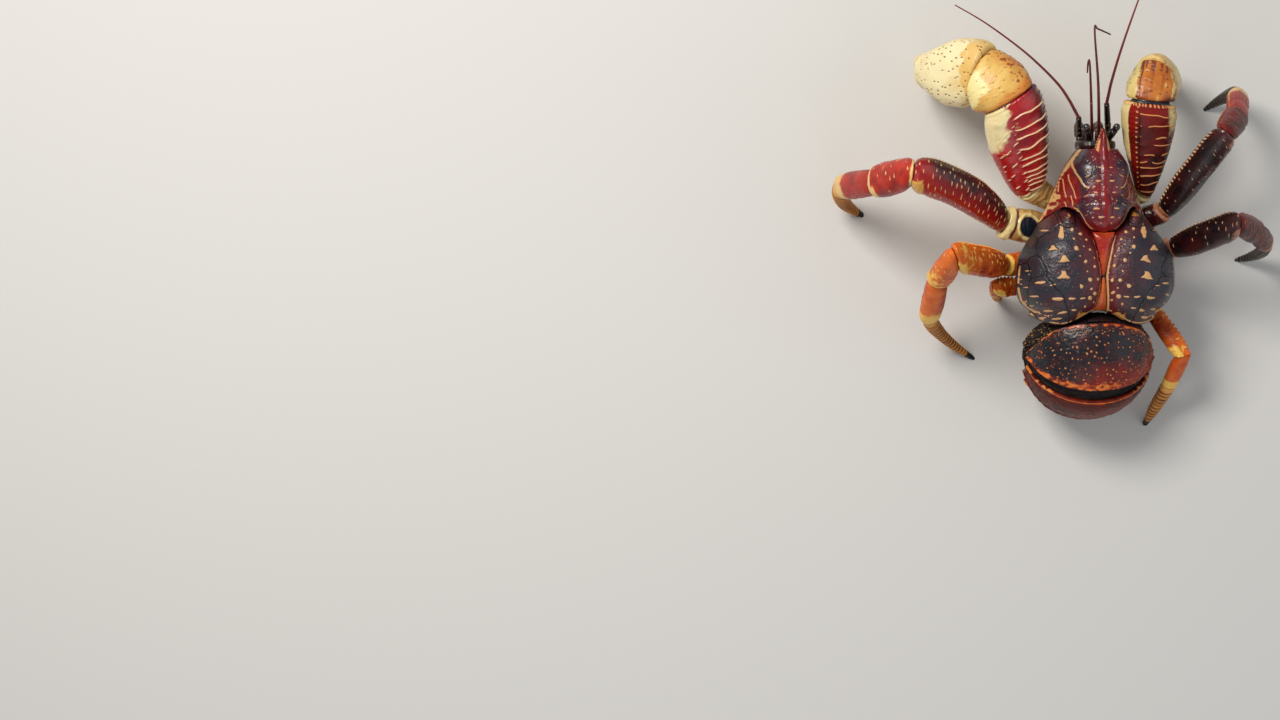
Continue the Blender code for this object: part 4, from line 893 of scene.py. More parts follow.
def make_shield():
    rows = np.linspace(-1.0, -0.004, SHIELD_ROWS)
    half = np.concatenate((np.linspace(0, 1, 36)[1:], np.linspace(1, 2, SHIELD_SIDE_COLUMNS - 35)[1:]))
    columns = np.concatenate((-half[::-1], [0.0], half))
    x, y, half_width = plan_grid(rows, columns)
    q = np.abs(x)
    place = np.stack((x, y), -1)
    z = carapace_height(x, y, half_width, True)
    dome = curve_through(DOME_HALF, y)
    to_groove = groove_at(q) - y
    z = z - round_edges(to_groove, 1.2, 1.0) - round_edges(y - SHIELD_FRONT, 1.2, 1.0)
    spot_x = q + 0.35 * grain_noise(place, 2.2, 31)
    spot_y = y + 0.3 * grain_noise(place, 2.2, 32) - 0.22 * (q - 8) * (q > 8)
    masks = blank(x)
    height = np.zeros_like(x)
    dashes = [(dash_x, dash_y - 0.22 * max(dash_x - 8, 0), size) for dash_x, dash_y, size in SHIELD_DASHES]
    height, mark = add_bumps(spot_x, spot_y, dashes, height, masks["mark"], 0.7, 0.34)
    height, faint = add_bumps(spot_x, y - 0.5 * (q - 10), FAINT_DASHES, height, masks["mark"], 0.5, 0.34)
    mark = np.maximum(mark, 0.5 * faint)
    distance, number = cells(x, y, 2.9, seed=41)[:2]
    small = round_bump(distance, 0.25 + 0.4 * number) * (number > 0.72) * (q < dome)
    height = np.maximum(height, 0.25 * np.sqrt(small))
    mark = np.maximum(mark, 0.5 * small)
    wobble = 0.9 * grain_noise(place, 7.0, 33)
    shoulder = near_line(q + 0.3 * wobble, y, SHOULDER_LINE)
    edge_line = bell(shoulder, 0.0, 0.55)
    rear_line = bell(q - dome, -0.3, 0.7) * ease(y, -19.0, -14.0) * ease(-y, 6.0, 9.0)
    height = height + 0.5 * np.maximum(edge_line, rear_line)
    mark = np.maximum(mark, np.maximum(0.95 * edge_line, 0.7 * rear_line))
    streak = np.full_like(x, FAR)
    for line in FLANK_STREAKS:
        streak = np.minimum(streak, near_line(q + wobble, y, line))
    on_flank = ease(q - dome, 1.0, 3.0)
    slanted = (q + 0.16 * y) / 2.3 + 0.5 * grain_noise(place, 9.0, 34)
    fine_rows = np.abs(slanted % 1 - 0.5) * 2.3
    row_number = np.floor(slanted)
    pieces = grain_noise(np.stack((y / 5.5, row_number * 3.7), -1), 1.0, 35)
    thin = bell(fine_rows, 0.0, 0.26) * ease(pieces, 0.15, 0.4) * on_flank
    lines = np.maximum(bell(streak, 0.0, 0.34), 0.55 * thin)
    height = height + 0.4 * lines
    mark = np.maximum(mark, 0.9 * lines * ease(q - dome, 0.2, 1.2))
    ragged = grain_noise(place, 2.6, 42)
    to_margin = half_width - q
    teeth = 0.5 + 0.5 * wave(y, 2.6)
    margin = bell(to_margin, 0.0, 1.1)
    height = height + margin * 0.6 * teeth
    rear_margin = ease(y, -32.0, -22.0) * ease(-to_margin + 1.4 * ragged, -5.5, -2.5)
    rear_margin = rear_margin * ease(grain_noise(place, 2.4, 43), -0.2, 0.2)
    front_margin = ease(-y, 36.0, 44.0) * ease(-to_margin + 0.6 * ragged, -1.3, -0.5)
    masks["pale"] = clamp(0.9 * margin * (0.4 + 0.6 * teeth) + 0.8 * rear_margin + 0.6 * front_margin)
    midline = np.exp(-(q / (1.9 + 0.4 * ease(y, -40.0, -10.0))) ** 4)
    flank = ease(q - dome, -0.5, 1.5) * (1 - fall(q, 18.5, 19.5) * ease(-y, 36.0, 39.0))
    front_and_rear = bell(y, -42.0, 10.0) + 0.9 * bell(y, -17.0, 6.0)
    # Painted sheen: over the shoulders the tone falls to the slate deep colour, a reflection on the gloss.
    slate_sheen = np.exp(-((q - 12.5) / 5.5) ** 4) * front_and_rear
    slate_sheen = clamp(slate_sheen * (0.9 + 0.5 * grain_noise(place, 5.0, 36)))
    rear_red = ease(y, -13.0, -4.0)
    base_red = 0.55 + 0.3 * grain_noise(place, 7.0, 44) - 0.7 * slate_sheen
    masks["tone"] = clamp(np.maximum.reduce((midline, 0.95 * flank, 0.8 * rear_red, base_red)))
    height = height + 0.5 * midline * ease(-y, 2.0, 8.0) - 0.25 * bell(q, 3.2, 0.8)
    groove_rim = bell(to_groove, 1.1, 0.75) * ease(dome + 3.0 - q, 0.0, 2.0) * ease(q, 4.0, 9.0)
    height = height + 0.3 * groove_rim
    masks["mark"] = np.maximum(mark * (1 - 0.9 * midline), 0.62 * groove_rim)
    masks["pit"] = 0.45 * bell(q - dome, 0.9, 0.5) * ease(-y, 2.0, 20.0)
    dimples = grain_noise(place, 0.9, 37) * 0.06 + grain_noise(place, 5.0, 38) * 0.2
    top = np.stack((x, y, z + height + dimples), -1)
    outer = ((np.abs(columns)[None, :] > 1.99) | (rows[:, None] < -0.999)).astype(float)
    return add_plate("shield", top, masks, outer, "shield", "carapace_shield")


make_shield()
print(piece_report[-1])

# %% Narrow plate between the lobes
def make_cardiac():
    rows = np.linspace(0.004, 1.0, 170)
    columns = np.linspace(-0.96, 0.96, 31)
    x, y, half_width = plan_grid(rows, columns)
    q = np.abs(x)
    place = np.stack((x, y), -1)
    z = carapace_height(x, y, half_width, False)
    inner = curve_through(CARDIAC_SIDE, y)
    z = z - round_edges(inner - q, 0.8, 0.7) - round_edges(y - groove_at(q), 1.0, 1.0)
    z = z - round_edges(CARAPACE_REAR + rear_bend(q) - y, 1.6, 1.4)
    masks = blank(x)
    distance, number = cells(x, y, 4.0, seed=51)[:2]
    masks["pit"] = round_bump(distance, 0.5) * (number > 0.6)
    waist = bell(y, 30.0, 1.6)
    side_dark = bell(inner * 0.97, q, 0.5)
    masks["pit"] = clamp(masks["pit"] + 0.7 * waist + 0.6 * side_dark)
    masks["tone"] = clamp(0.18 + 0.75 * ease(y, 28.0, 33.0) + 0.3 * grain_noise(place, 5.0, 52))
    height = -0.3 * masks["pit"] + 0.12 * grain_noise(place, 1.4, 53) - 0.8 * waist
    top = np.stack((x, y, z + height), -1)
    outer = (rows[:, None] > 0.999) * np.ones((1, len(columns)))
    return add_plate("cardiac_plate", top, masks, outer, "cardiac", "carapace_cardiac")


make_cardiac()
print(piece_report[-1])

# %% [markdown]
# ## Limb segments
#
# A leg is a row of tubes, each cut off by the plane that halves the bend at its joint. A tube's
# cross-section is a rounded box, given by its breadth and thickness along the way. Here each
# tube has sixty or more rings, its ends are rounded in, and its skin is carved: raised
# transverse ridges on the upper face, teeth on its leading edge, and a cream collar at a joint.

# %% Limb surface
FLOOR = 0.0
JOINT_GAP = 0.15
TUCK = 1.5


def unit(vector):
    vector = np.asarray(vector, float)
    return vector / np.linalg.norm(vector)


def side_axes(direction, broad_axis):
    """The broad and the thick axis of a limb, square to its direction, the thick one upward."""
    broad = unit(np.asarray(broad_axis, float) - np.dot(broad_axis, direction) * direction)
    thick = np.cross(direction, broad)
    return broad, (-thick if thick[2] < 0 else thick)


def signed_power(value, power):
    return np.sign(value) * np.abs(value) ** power


class Limb:
    """A tube between two joint planes, as a grid of points with the places its pattern needs."""

    def __init__(self, start, end, start_face, end_face, profile, broad_axis, rows, columns,
                 squareness=2.3, bow=(0.0, 0.0), gaps=(JOINT_GAP, JOINT_GAP), tuck=(TUCK, TUCK),
                 cut=(0.0, 0.0)):
        start, end = np.asarray(start, float), np.asarray(end, float)
        self.length = np.linalg.norm(end - start)
        self.direction = unit(end - start)
        self.broad, self.thick = side_axes(self.direction, broad_axis)
        even = np.linspace(0, 1, rows)
        place = (0.72 * even + 0.28 * (0.5 - 0.5 * np.cos(np.pi * even)))[:, None]
        angle = (2 * np.pi * np.arange(columns) / columns)[None, :]
        half_broad = curve_through(column(profile, 1), place) / 2
        half_thick = curve_through(column(profile, 2), place) / 2
        from_start, from_end = place * self.length, (1 - place) * self.length
        rounded = 1 - round_edges(from_start, max(tuck[0], 0.01), 0.26 * (tuck[0] > 0))
        rounded = rounded - round_edges(from_end, max(tuck[1], 0.01), 0.26 * (tuck[1] > 0))
        self.half_broad, self.half_thick = half_broad * rounded, half_thick * rounded
        across = signed_power(np.sin(angle), 2 / squareness)
        upward = signed_power(np.cos(angle), 2 / squareness)
        shift = (self.broad * (across * self.half_broad)[..., None]
                 + self.thick * (upward * self.half_thick)[..., None])
        near = (gaps[0] + cut[0] - shift @ start_face) / np.dot(self.direction, start_face)
        far = self.length - (gaps[1] + cut[1] + shift @ end_face) / np.dot(self.direction, end_face)
        along = near + (far - near) * place
        bend = 4 * place * (1 - place)
        middle = self.broad * (bow[0] * bend)[..., None] + self.thick * (bow[1] * bend)[..., None]
        self.points = start + self.direction * along[..., None] + shift + middle
        self.place = place + 0 * angle
        self.along = self.place * self.length
        self.angle = angle + 0 * place
        self.lead, self.up = np.sin(self.angle), np.cos(self.angle)
        self.w = across * half_broad
        self.across = self.w / np.maximum(self.half_broad, 0.1)
        self.arc = np.arctan2(self.lead, self.up) * (self.half_broad + self.half_thick) / 2
        self.masks = blank(self.points)
        self.height = np.zeros(self.points.shape[:2])

    def normals(self):
        along = np.gradient(self.points, axis=0)
        across = np.roll(self.points, -1, 1) - np.roll(self.points, 1, 1)
        normal = np.cross(across, along)
        normal /= np.maximum(np.linalg.norm(normal, axis=-1, keepdims=True), 1e-9)
        outward = self.points - self.points.mean(axis=1, keepdims=True)
        return normal if (normal * outward).sum() > 0 else -normal

    def noise(self, size, seed):
        return grain_noise(self.points, size, seed)

    def cover(self, mask, values):
        self.masks[mask] = np.maximum(self.masks[mask], values)

    def raise_by(self, height, mark=None, mask="mark"):
        """Stand out by a height, and cover the same place with a mask."""
        self.height = self.height + height
        if mark is not None:
            self.cover(mask, mark)

    def finish(self, name, finish, nodes, slot=None):
        inside = ease(np.minimum(self.place, 1 - self.place) * self.length, 0.0, 0.8)
        points = self.points + self.normals() * (self.height * inside)[..., None]
        points[..., 2] = np.maximum(points[..., 2], 0.0)
        rows, columns = points.shape[:2]
        faces = tube_faces(rows, columns)
        masks = {key: clamp(value) for key, value in self.masks.items()}
        return add_piece(name, points, faces, masks, finish, nodes)


def joint_planes(joints):
    """The plane normal at each joint, halving its bend, and a level plane at the tip."""
    ways = [unit(np.subtract(far, near)) for near, far in zip(joints, joints[1:])]
    planes = [ways[0]] + [unit(a + b) for a, b in zip(ways, ways[1:])]
    return planes + [np.array([0.0, 0.0, -1.0])]


def scaled(shape, breadth, thickness):
    return [(place, breadth * share, thickness * share) for place, share in shape]


# %% [markdown]
# ## Ridges, dashes and teeth
#
# On the real shell the ridges are overlapping steps: each rises slowly and ends in a steep
# cream lip. Towards one side they break up into short dashes. The same few functions draw them
# on every segment, with their own spacing, slope and gaps.

# %% Ridge functions
def step_ridges(limb, places, slope, sag, height, gate, width=0.6, seed=0, wander=0.6):
    """Raised steps at listed places along a limb, where gate lets them through."""
    spot = limb.along - slope * limb.w - sag * limb.w ** 2 / 10 + wander * limb.noise(7.0, seed)
    total = np.zeros_like(limb.height)
    mark = np.zeros_like(limb.height)
    for index, place in enumerate(places):
        behind = place - spot
        spacing = places[index] - places[index - 1] if index else places[1] - places[0]
        slow = clamp(1 - behind / (0.8 * spacing)) * (behind >= 0)
        steep = clamp(1 + behind / 0.7) * (behind < 0)
        step = np.maximum(slow ** 2, steep) * gate(index)
        total = np.maximum(total, step)
        mark = np.maximum(mark, bell(behind, 0.0, width) * gate(index))
    limb.raise_by(height * total, mark)


def dash_gate(limb, length, seed, low, high):
    """Let a row through only in stretches. Low and high are the shares that show at either side."""
    def gate(index):
        line = np.stack((limb.w / length, np.full_like(limb.w, 5.3 * index + seed)), -1)
        chance = grain_noise(line, 1.0, seed) * 0.5 + 0.5
        share = low + (high - low) * ease(limb.across, -1.0, 1.0)
        return ease(chance, 1 - share - 0.08, 1 - share + 0.08)
    return gate


def edge_teeth(limb, side, spacing, height, start=0.06, end=0.94, width=0.22, mark=0.9, lean=0.3):
    """Pointed teeth along the leading (side 1) or trailing (side -1) edge."""
    off_edge = np.angle(np.exp(1j * (limb.angle - side * np.pi / 2)))
    near = bell(off_edge, 0.0, width)
    phase = (limb.along / spacing + lean * off_edge) % 1
    tooth = clamp(1 - np.abs(phase - 0.5) * 2.4)
    gate = ease(limb.place, start - 0.03, start + 0.03) * ease(-limb.place, -end - 0.03, -end + 0.03)
    limb.raise_by(height * near * tooth * gate, mark * near ** 2 * ease(tooth, 0.1, 0.6) * gate)


def granules(limb, size, height, share, seed, mark=0.6, gate=1.0):
    """Small raised grains, scattered over a limb's skin."""
    distance, number = cells(limb.along, limb.arc, size, seed)[:2]
    lump = round_bump(distance, size * (0.16 + 0.2 * number)) * (number > 1 - share) * gate
    limb.raise_by(height * np.sqrt(lump), mark * lump)


def dash_field(limb, step, thick, reach, height, share, seed, gate=1.0, lean=0.0, mark=1.0, jitter=0.5):
    """Short separate ridges across a limb, one in each cell of a slanted lattice."""
    _, number, du, dw = cells(limb.along + 0.5 * limb.arc, limb.arc, step, seed, jitter)
    off_line = du - (0.5 + lean) * dw
    lump = clamp(1 - (off_line / thick) ** 2 - (dw / (reach * (0.55 + 0.55 * number))) ** 2)
    lump = lump * (number > 1 - share) * gate
    limb.raise_by(height * np.sqrt(lump), mark * ease(lump, 0.02, 0.45))


def collar(limb, at_end, width, height=0.35, mask="pale", strength=1.0):
    """A raised cream band at one end of a limb."""
    distance = (1 - limb.place) * limb.length if at_end else limb.along
    band = ease(-distance, -width, -width * 0.55)
    limb.raise_by(height * band, strength * band, mask)


def skin_grain(limb, seed, fine=0.06, broad=0.22):
    limb.raise_by(fine * limb.noise(1.1, seed) + broad * limb.noise(6.0, seed + 1))


def upper_side(limb, low=-0.15, high=0.35):
    return ease(limb.up, low, high)


# %% Leg shapes and colours
ISCHIUM_SHAPE = [(0.0, 0.78), (0.5, 1.0), (0.9, 0.95), (1.0, 0.8)]
MERUS_SHAPE = [(0.0, 0.6), (0.1, 0.78), (0.4, 1.0), (0.8, 1.0), (0.94, 0.88), (1.0, 0.68)]
CARPUS_SHAPE = [(0.0, 0.7), (0.2, 0.92), (0.6, 1.0), (0.88, 0.97), (1.0, 0.74)]
PROPODUS_SHAPE = [(0.0, 0.76), (0.15, 0.94), (0.5, 1.0), (0.85, 0.92), (1.0, 0.66)]
DACTYL_SHAPE = [(0.0, 0.8), (0.1, 1.0), (0.5, 0.78), (0.85, 0.46), (1.0, 0.24)]
LEGS = {
    "leg1_left": {
        "joints": [(24, -2, 43), (60, -7, 57), (132, -40, 118), (153, -34.5, 88), (170, -32, 44),
                   (149.3, -13.1, FLOOR)],
        "sizes": [(23, 13), (24.5, 18), (23, 18), (18.5, 15), (12.5, 10)],
        "broad_axes": [(0, -1, 0.2), (0, -0.8, 0.6), (-0.3, -0.9, 0.3), (0, -1, 0), (0, -1, 0)],
        "finishes": ("leg_base", "leg_red", "leg_rose", "leg_rose", "dactyl_tan"),
        "bows": {"merus": (5.5, 0.0), "dactyl": (0.0, -6.0)},
    },
    "leg2_left": {
        "joints": [(26, 19, 42), (59, 22.5, 57), (104, 16, 116), (111, 32, 88), (109.7, 59, 47),
                   (70.6, 88.3, FLOOR)],
        "sizes": [(16, 12.5), (20, 17), (18, 15), (15.6, 13), (9.5, 8.5)],
        "broad_axes": [(0, -1, 0.2), (0, -0.9, 0.5), (-1, -0.2, 0), (-1, 0, 0), (-0.6, -0.8, 0)],
        "finishes": ("leg_orange", "leg_orange", "leg_orange", "leg_orange", "dactyl_tan"),
        "bows": {"dactyl": (-2.0, -6.0)},
    },
    # Painted shade: the right legs take the dark finishes, shaded copies of the leg colours.
    "leg1_right": {
        "joints": [(-24, -3, 43), (-52, -14, 57), (-78.5, -64.8, 116), (-94.3, -78, 88),
                   (-106.6, -94, 46), (-95.6, -86, FLOOR)],
        "sizes": [(16, 13), (20, 17), (18, 15), (15.6, 13), (10, 9)],
        "broad_axes": [(0.5, -0.8, 0.2), (0.8, -0.4, 0.4), (0.7, -0.7, 0), (0.7, -0.7, 0), (0.7, -0.7, 0)],
        "finishes": ("leg_dark", "leg_dark", "leg_shaded_maroon", "leg_rose", "dactyl_shaded_dark"),
        "bows": {"dactyl": (0.0, -6.0)},
    },
    "leg2_right": {
        "joints": [(-28, 20, 42), (-57, 12, 57), (-88.5, -4.8, 112), (-108.7, 0.7, 84), (-126.8, 8.4, 45),
                   (-118.1, 20.5, FLOOR)],
        "sizes": [(17, 12.5), (20, 16), (17, 14), (14.5, 12), (9.5, 8.5)],
        "broad_axes": [(0, -1, 0.2), (0.2, -0.8, 0.5), (-0.2, -1, 0), (-0.2, -1, 0), (-0.2, -1, 0)],
        "finishes": ("leg_dark", "leg_dark", "leg_shaded_maroon", "leg_shaded_maroon", "dactyl_shaded_dark"),
        "bows": {"dactyl": (0.0, -6.0)},
    },
}
print(len(LEGS), "walking legs")


# %% Walking legs
def dress_ischium(limb, seed, finish="joint"):
    """The first segment: rough cream folds, and on the big left leg a dark membrane in a ring."""
    skin_grain(limb, seed, 0.08, 0.4)
    folds = wave(limb.along + 3.0 * limb.noise(7.0, seed + 4), 5.6)
    limb.raise_by(0.14 * folds)
    limb.masks["tone"] = clamp(0.72 + 0.5 * limb.noise(6.0, seed) + 0.12 * folds)
    granules(limb, 2.3, 0.35, 0.5, seed, mark=0.5)
    collar(limb, True, 3.0)
    limb.masks["pit"] = 0.6 * fall(limb.place, 0.05, 0.2)
    if finish == "leg_base":
        fold = ease(limb.place + 0.03 * limb.noise(4.0, seed + 6), 0.85, 0.9)
        gap = bell(limb.place, 0.83, 0.03)
        limb.raise_by(0.9 * fold * (0.7 + 0.3 * limb.noise(3.0, seed + 5)) - 1.2 * gap)
        limb.cover("pale", 0.8 * fold)
        limb.masks["tone"] = limb.masks["tone"] * (1 - gap)
        oval = np.hypot((limb.along - 0.57 * limb.length) / 7.6, (limb.w - 0.2 * (limb.along - 22.0)) / 6.8)
        oval = np.where(limb.up > 0, oval, 9.0)
        ring = bell(oval, 1.2, 0.16)
        pool = fall(oval, 0.92, 1.06)
        limb.raise_by(1.1 * ring - 0.5 * pool + 0.9 * pool * clamp(1 - oval ** 2))
        limb.masks["pale"] = np.maximum(limb.masks["pale"] * (1 - pool), ring)
        limb.masks["mark"] = limb.masks["mark"] * (1 - pool)
        limb.cover("pit", np.maximum(pool, 0.55 * gap))


def dress_merus(limb, seed, finish="leg_red"):
    """The long segment: staggered dashes on top, a toothed crest, and a cream knob at the knee."""
    top = upper_side(limb, -0.35, 0.1)
    skin_grain(limb, seed)
    lead = limb.across
    inside = top * fall(np.abs(lead), 0.9, 0.99) * ease(limb.along, 3.0, 6.0)
    to_knee = (1 - limb.place) * limb.length - 4.0
    knee = np.exp(-(to_knee / 6.0) ** 4) * ease(-lead + 0.15 * limb.noise(3.0, seed + 3), 0.0, 0.35)
    knee = knee * ease(limb.up, -0.9, -0.2)
    under = ease(-limb.up, 0.3, 0.9)
    base_rim = fall(limb.along, 2.0, 4.0)
    if finish == "leg_red":
        limb.masks["tone"] = clamp(0.62 - 0.95 * lead + 0.75 * ease(limb.place, 0.7, 0.95)
                                   + 0.22 * limb.noise(9.0, seed + 2))
        dash_field(limb, 5.1, 0.5, 1.7, 0.45, 0.84, seed, inside, lean=0.12)
        lower = ease(-lead, 0.78, 0.95) * fall(limb.place, 0.3, 0.62)
        limb.masks["pale"] = np.maximum(0.8 * lower, 0.7 * under)
        edge_teeth(limb, 1, 2.7, 1.1, start=0.05, end=0.9, mark=0.8)
        edge_teeth(limb, -1, 4.4, 0.5, start=0.1, end=0.85, mark=0.8)
    elif finish == "leg_orange":
        blotch = limb.noise(5.0, seed + 2)
        limb.masks["tone"] = clamp(0.5 + 0.45 * blotch + 0.35 * ease(limb.place, 0.5, 0.9) + 0.25 * lead)
        dash_field(limb, 4.2, 0.55, 1.7, 0.55, 0.7, seed, inside * ease(lead, -0.2, 0.3), lean=0.1,
                   mark=0.8)
        granules(limb, 2.6, 0.5, 0.6, seed + 6, mark=0.5, gate=inside)
        golden = ease(limb.noise(3.4, seed + 9), 0.05, 0.5) * ease(limb.place, 0.45, 0.8) * top
        limb.masks["pale"] = np.maximum(0.62 * golden, 0.5 * under)
        edge_teeth(limb, 1, 3.2, 1.5, start=0.05, end=0.88, mark=0.8)
    else:
        # Painted shade for the right legs: a low tone, fewer and dimmer cream marks, and a dimmer knee.
        limb.masks["tone"] = clamp(0.12 + 0.3 * limb.noise(8.0, seed + 2) + 0.8 * ease(-lead, 0.5, 1.0)
                                   + 0.6 * ease(limb.place, 0.85, 1.0))
        dash_field(limb, 4.6, 0.45, 1.5, 0.45, 0.4, seed, inside, lean=0.1, mark=0.55)
        edge_teeth(limb, 1, 3.3, 1.2, start=0.05, end=0.92, mark=0.95)
        edge_teeth(limb, -1, 4.4, 0.45, start=0.12, end=0.85, mark=0.7)
        knee = 0.6 * knee
    limb.cover("pale", 0.9 * base_rim * ease(limb.noise(4.0, seed + 8), -0.6, 0.2))
    limb.raise_by(1.2 * knee, knee, "pale")
    limb.masks["mark"] = limb.masks["mark"] * (1 - 0.9 * ease(knee, 0.2, 0.5))


def dress_carpus(limb, seed, finish="leg_red"):
    """The short segment after the knee: fine slanted rows, and a cream ring at its far end."""
    skin_grain(limb, seed)
    lead = limb.across
    top = upper_side(limb, -0.5, 0.0)
    limb.masks["tone"] = clamp(0.62 + 0.3 * lead + 0.45 * limb.noise(5.0, seed + 2))
    rosy = finish == "leg_rose"
    share = 0.2 if rosy else 0.5
    dash_field(limb, 3.8, 0.42, 1.3, 0.35, share, seed, top * ease(limb.along, 2.0, 4.0), lean=0.1,
               mark=0.75)
    if rosy:
        blotch = ease(limb.noise(4.0, seed + 5), 0.1, 0.5) * ease(lead, -0.2, 0.5) * top
        base = 0.85 * fall(limb.along, 1.0, 5.0) * ease(limb.up, -0.2, 0.5)
        limb.masks["pale"] = np.maximum(0.42 * blotch, base)
    edge_teeth(limb, 1, 2.6, 0.8, start=0.1, end=0.85, mark=0.75)
    # Painted shade: on the right legs' dark finishes the cream collar and ring are dimmed.
    dark = finish in ("leg_dark", "leg_shaded_maroon")
    collar(limb, True, 4.4, 0.4, strength=0.45 if dark else 0.9)
    if finish == "leg_orange":
        to_end = (1 - limb.place) * limb.length + 2.5 * limb.noise(3.0, seed + 6)
        # Painted shade: the orange carpus turns red on the side away from the light.
        limb.masks["tone"] = clamp(0.8 - 0.5 * ease(lead, 0.1, 0.9) + 0.35 * limb.noise(5.0, seed + 2))
        end_patch = (fall(to_end, 5.0, 19.0) * ease(-lead, -0.7, 0.4)
                     * (0.7 + 0.5 * limb.noise(2.6, seed + 11)))
        limb.cover("pale", 0.75 * end_patch)
    else:
        lower_ring = ease(-(1 - limb.place) * limb.length, -7.5, -5.0) * ease(-lead, 0.1, 0.8)
        limb.cover("pale", (0.3 if dark else 0.9) * lower_ring)


def dress_propodus(limb, seed, finish="leg_red"):
    """The long slim segment: small dark pits in even rows, and a smooth cream end."""
    skin_grain(limb, seed)
    lead = limb.across
    # Painted shade: an orange propodus turns red on the side away from the light.
    limb.masks["tone"] = clamp(0.5 + 0.3 * ease(limb.place, 0.4, 0.9) + 0.35 * limb.noise(6.0, seed + 2)
                               + (0.3 - 0.6 * ease(lead, 0.0, 0.9) if finish == "leg_orange" else 0.0))
    gate = fall(limb.place, 0.7, 0.8)
    dash_field(limb, 2.5, 0.34, 0.95, 0.3, 0.7, seed, gate, lean=0.1, mark=0.33, jitter=0.3)
    rows = wave(limb.along, 2.5) * wave(limb.arc, 2.4)
    limb.raise_by(-0.08 * rows, 0.4 * ease(rows, 0.6, 0.95) * fall(limb.place, 0.7, 0.78), "pit")
    edge_teeth(limb, 1, 2.4, 0.5, start=0.1, end=0.75, mark=0.6)
    if finish in ("leg_orange", "leg_rose"):
        collar(limb, True, 19.0, 0.3, strength=0.75)
    else:
        collar(limb, True, 9.5, 0.3, strength=0.9)


def dress_dactyl(limb, seed, finish="dactyl_tan"):
    """A curved claw: rows of short stiff ridges, horn-black towards its tip."""
    skin_grain(limb, seed, 0.04, 0.12)
    rows = clamp(np.cos(limb.angle * 6)) ** 2
    phase = (limb.along / 1.5 + 0.4 * np.cos(limb.angle * 3)) % 1
    spine = clamp(1 - np.abs(phase - 0.4) * 2.6) * rows * fall(limb.place, 0.7, 0.86)
    limb.raise_by(0.32 * spine, 0.5 * spine)
    rings = 0.5 + 0.5 * np.cos(2 * np.pi * limb.along / 3.4 + limb.noise(5.0, seed) * 1.2)
    limb.raise_by(0.4 * rings)
    limb.masks["tone"] = clamp(1.3 * rings - 0.3 * limb.place + 0.2 * limb.noise(5.0, seed))
    limb.masks["pit"] = ease(limb.place, 0.82, 0.93)
    limb.masks["pale"] = 0.9 * fall(limb.place, 0.03, 0.12)


SEGMENTS = ("ischium", "merus", "carpus", "propodus", "dactyl")
SEGMENT_SHAPES = (ISCHIUM_SHAPE, MERUS_SHAPE, CARPUS_SHAPE, PROPODUS_SHAPE, DACTYL_SHAPE)
SEGMENT_ROWS = (60, 210, 84, 90, 130)
DRESS = (dress_ischium, dress_merus, dress_carpus, dress_propodus, dress_dactyl)


def make_leg(name, leg, seed):
    joints, planes = leg["joints"], joint_planes(leg["joints"])
    for index, segment in enumerate(SEGMENTS):
        breadth, thickness = leg["sizes"][index]
        is_tip = index == len(SEGMENTS) - 1
        finish = leg["finishes"][index]
        limb = Limb(joints[index], joints[index + 1], planes[index], planes[index + 1],
                    scaled(SEGMENT_SHAPES[index], breadth, thickness), leg["broad_axes"][index],
                    SEGMENT_ROWS[index], 84, bow=leg["bows"].get(segment, (0.0, 0.0)),
                    gaps=(0.0 if index == 0 else JOINT_GAP, 0.0 if is_tip else JOINT_GAP),
                    tuck=(0.0 if index == 0 else TUCK, 0.0 if is_tip else TUCK))
        DRESS[index](limb, seed + index * 10, finish)
        limb.finish(f"{name}_{segment}_shell", finish, [f"{name}_{segment}"])


for number, (leg_name, leg) in enumerate(LEGS.items()):
    make_leg(leg_name, leg, 100 + 60 * number)
print("leg pieces", len(piece_report))

# %% [markdown]
# ## Joint skin
#
# Between two segments the shell stops, and a soft blue-black skin bridges the joint. It shows as
# a dark ring in the notch. A short wrinkled tube sits inside each joint, a little narrower
# than the segment ends.

# %% Joint skin
def joint_skin(name, joint, way, broad_axis, breadth, thickness, slot, reach=2.6, share=0.78):
    """A short soft tube across a joint."""
    joint, way = np.asarray(joint, float), unit(way)
    ends = (breadth * share * 0.8, thickness * share * 0.8)
    profile = [(0.0, *ends), (0.5, breadth * share, thickness * share), (1.0, *ends)]
    limb = Limb(joint - way * reach, joint + way * reach, way, way, profile, broad_axis, 24, 48,
                gaps=(0.0, 0.0), tuck=(1.0, 1.0))
    limb.raise_by(0.25 * np.cos(limb.along / 0.55) + 0.12 * limb.noise(1.6, 7))
    limb.masks["tone"] = clamp(0.5 + 0.5 * limb.noise(3.0, 8))
    return limb.finish(name, "membrane", [], slot)


for leg_name, leg in LEGS.items():
    planes = joint_planes(leg["joints"])
    for index in range(1, 5):
        share_before = SEGMENT_SHAPES[index - 1][-1][1]
        breadth = leg["sizes"][index - 1][0] * share_before
        thickness = leg["sizes"][index - 1][1] * share_before
        joint_skin(f"{leg_name}_joint_{index}", leg["joints"][index], planes[index],
                   leg["broad_axes"][index - 1], breadth, thickness, slot_of[f"{leg_name}_merus"])
print("with joint skins", len(piece_report))

# %% [markdown]
# ## Claw limbs
#
# The two claw limbs are the crab's strongest. The merus is crimson with long cream steps, the
# carpus a rounded orange-yellow block with dark specks, and the palm is cream with brown pits
# and carries two blunt fingers. The front one, which moves in life, is a piece of its own.

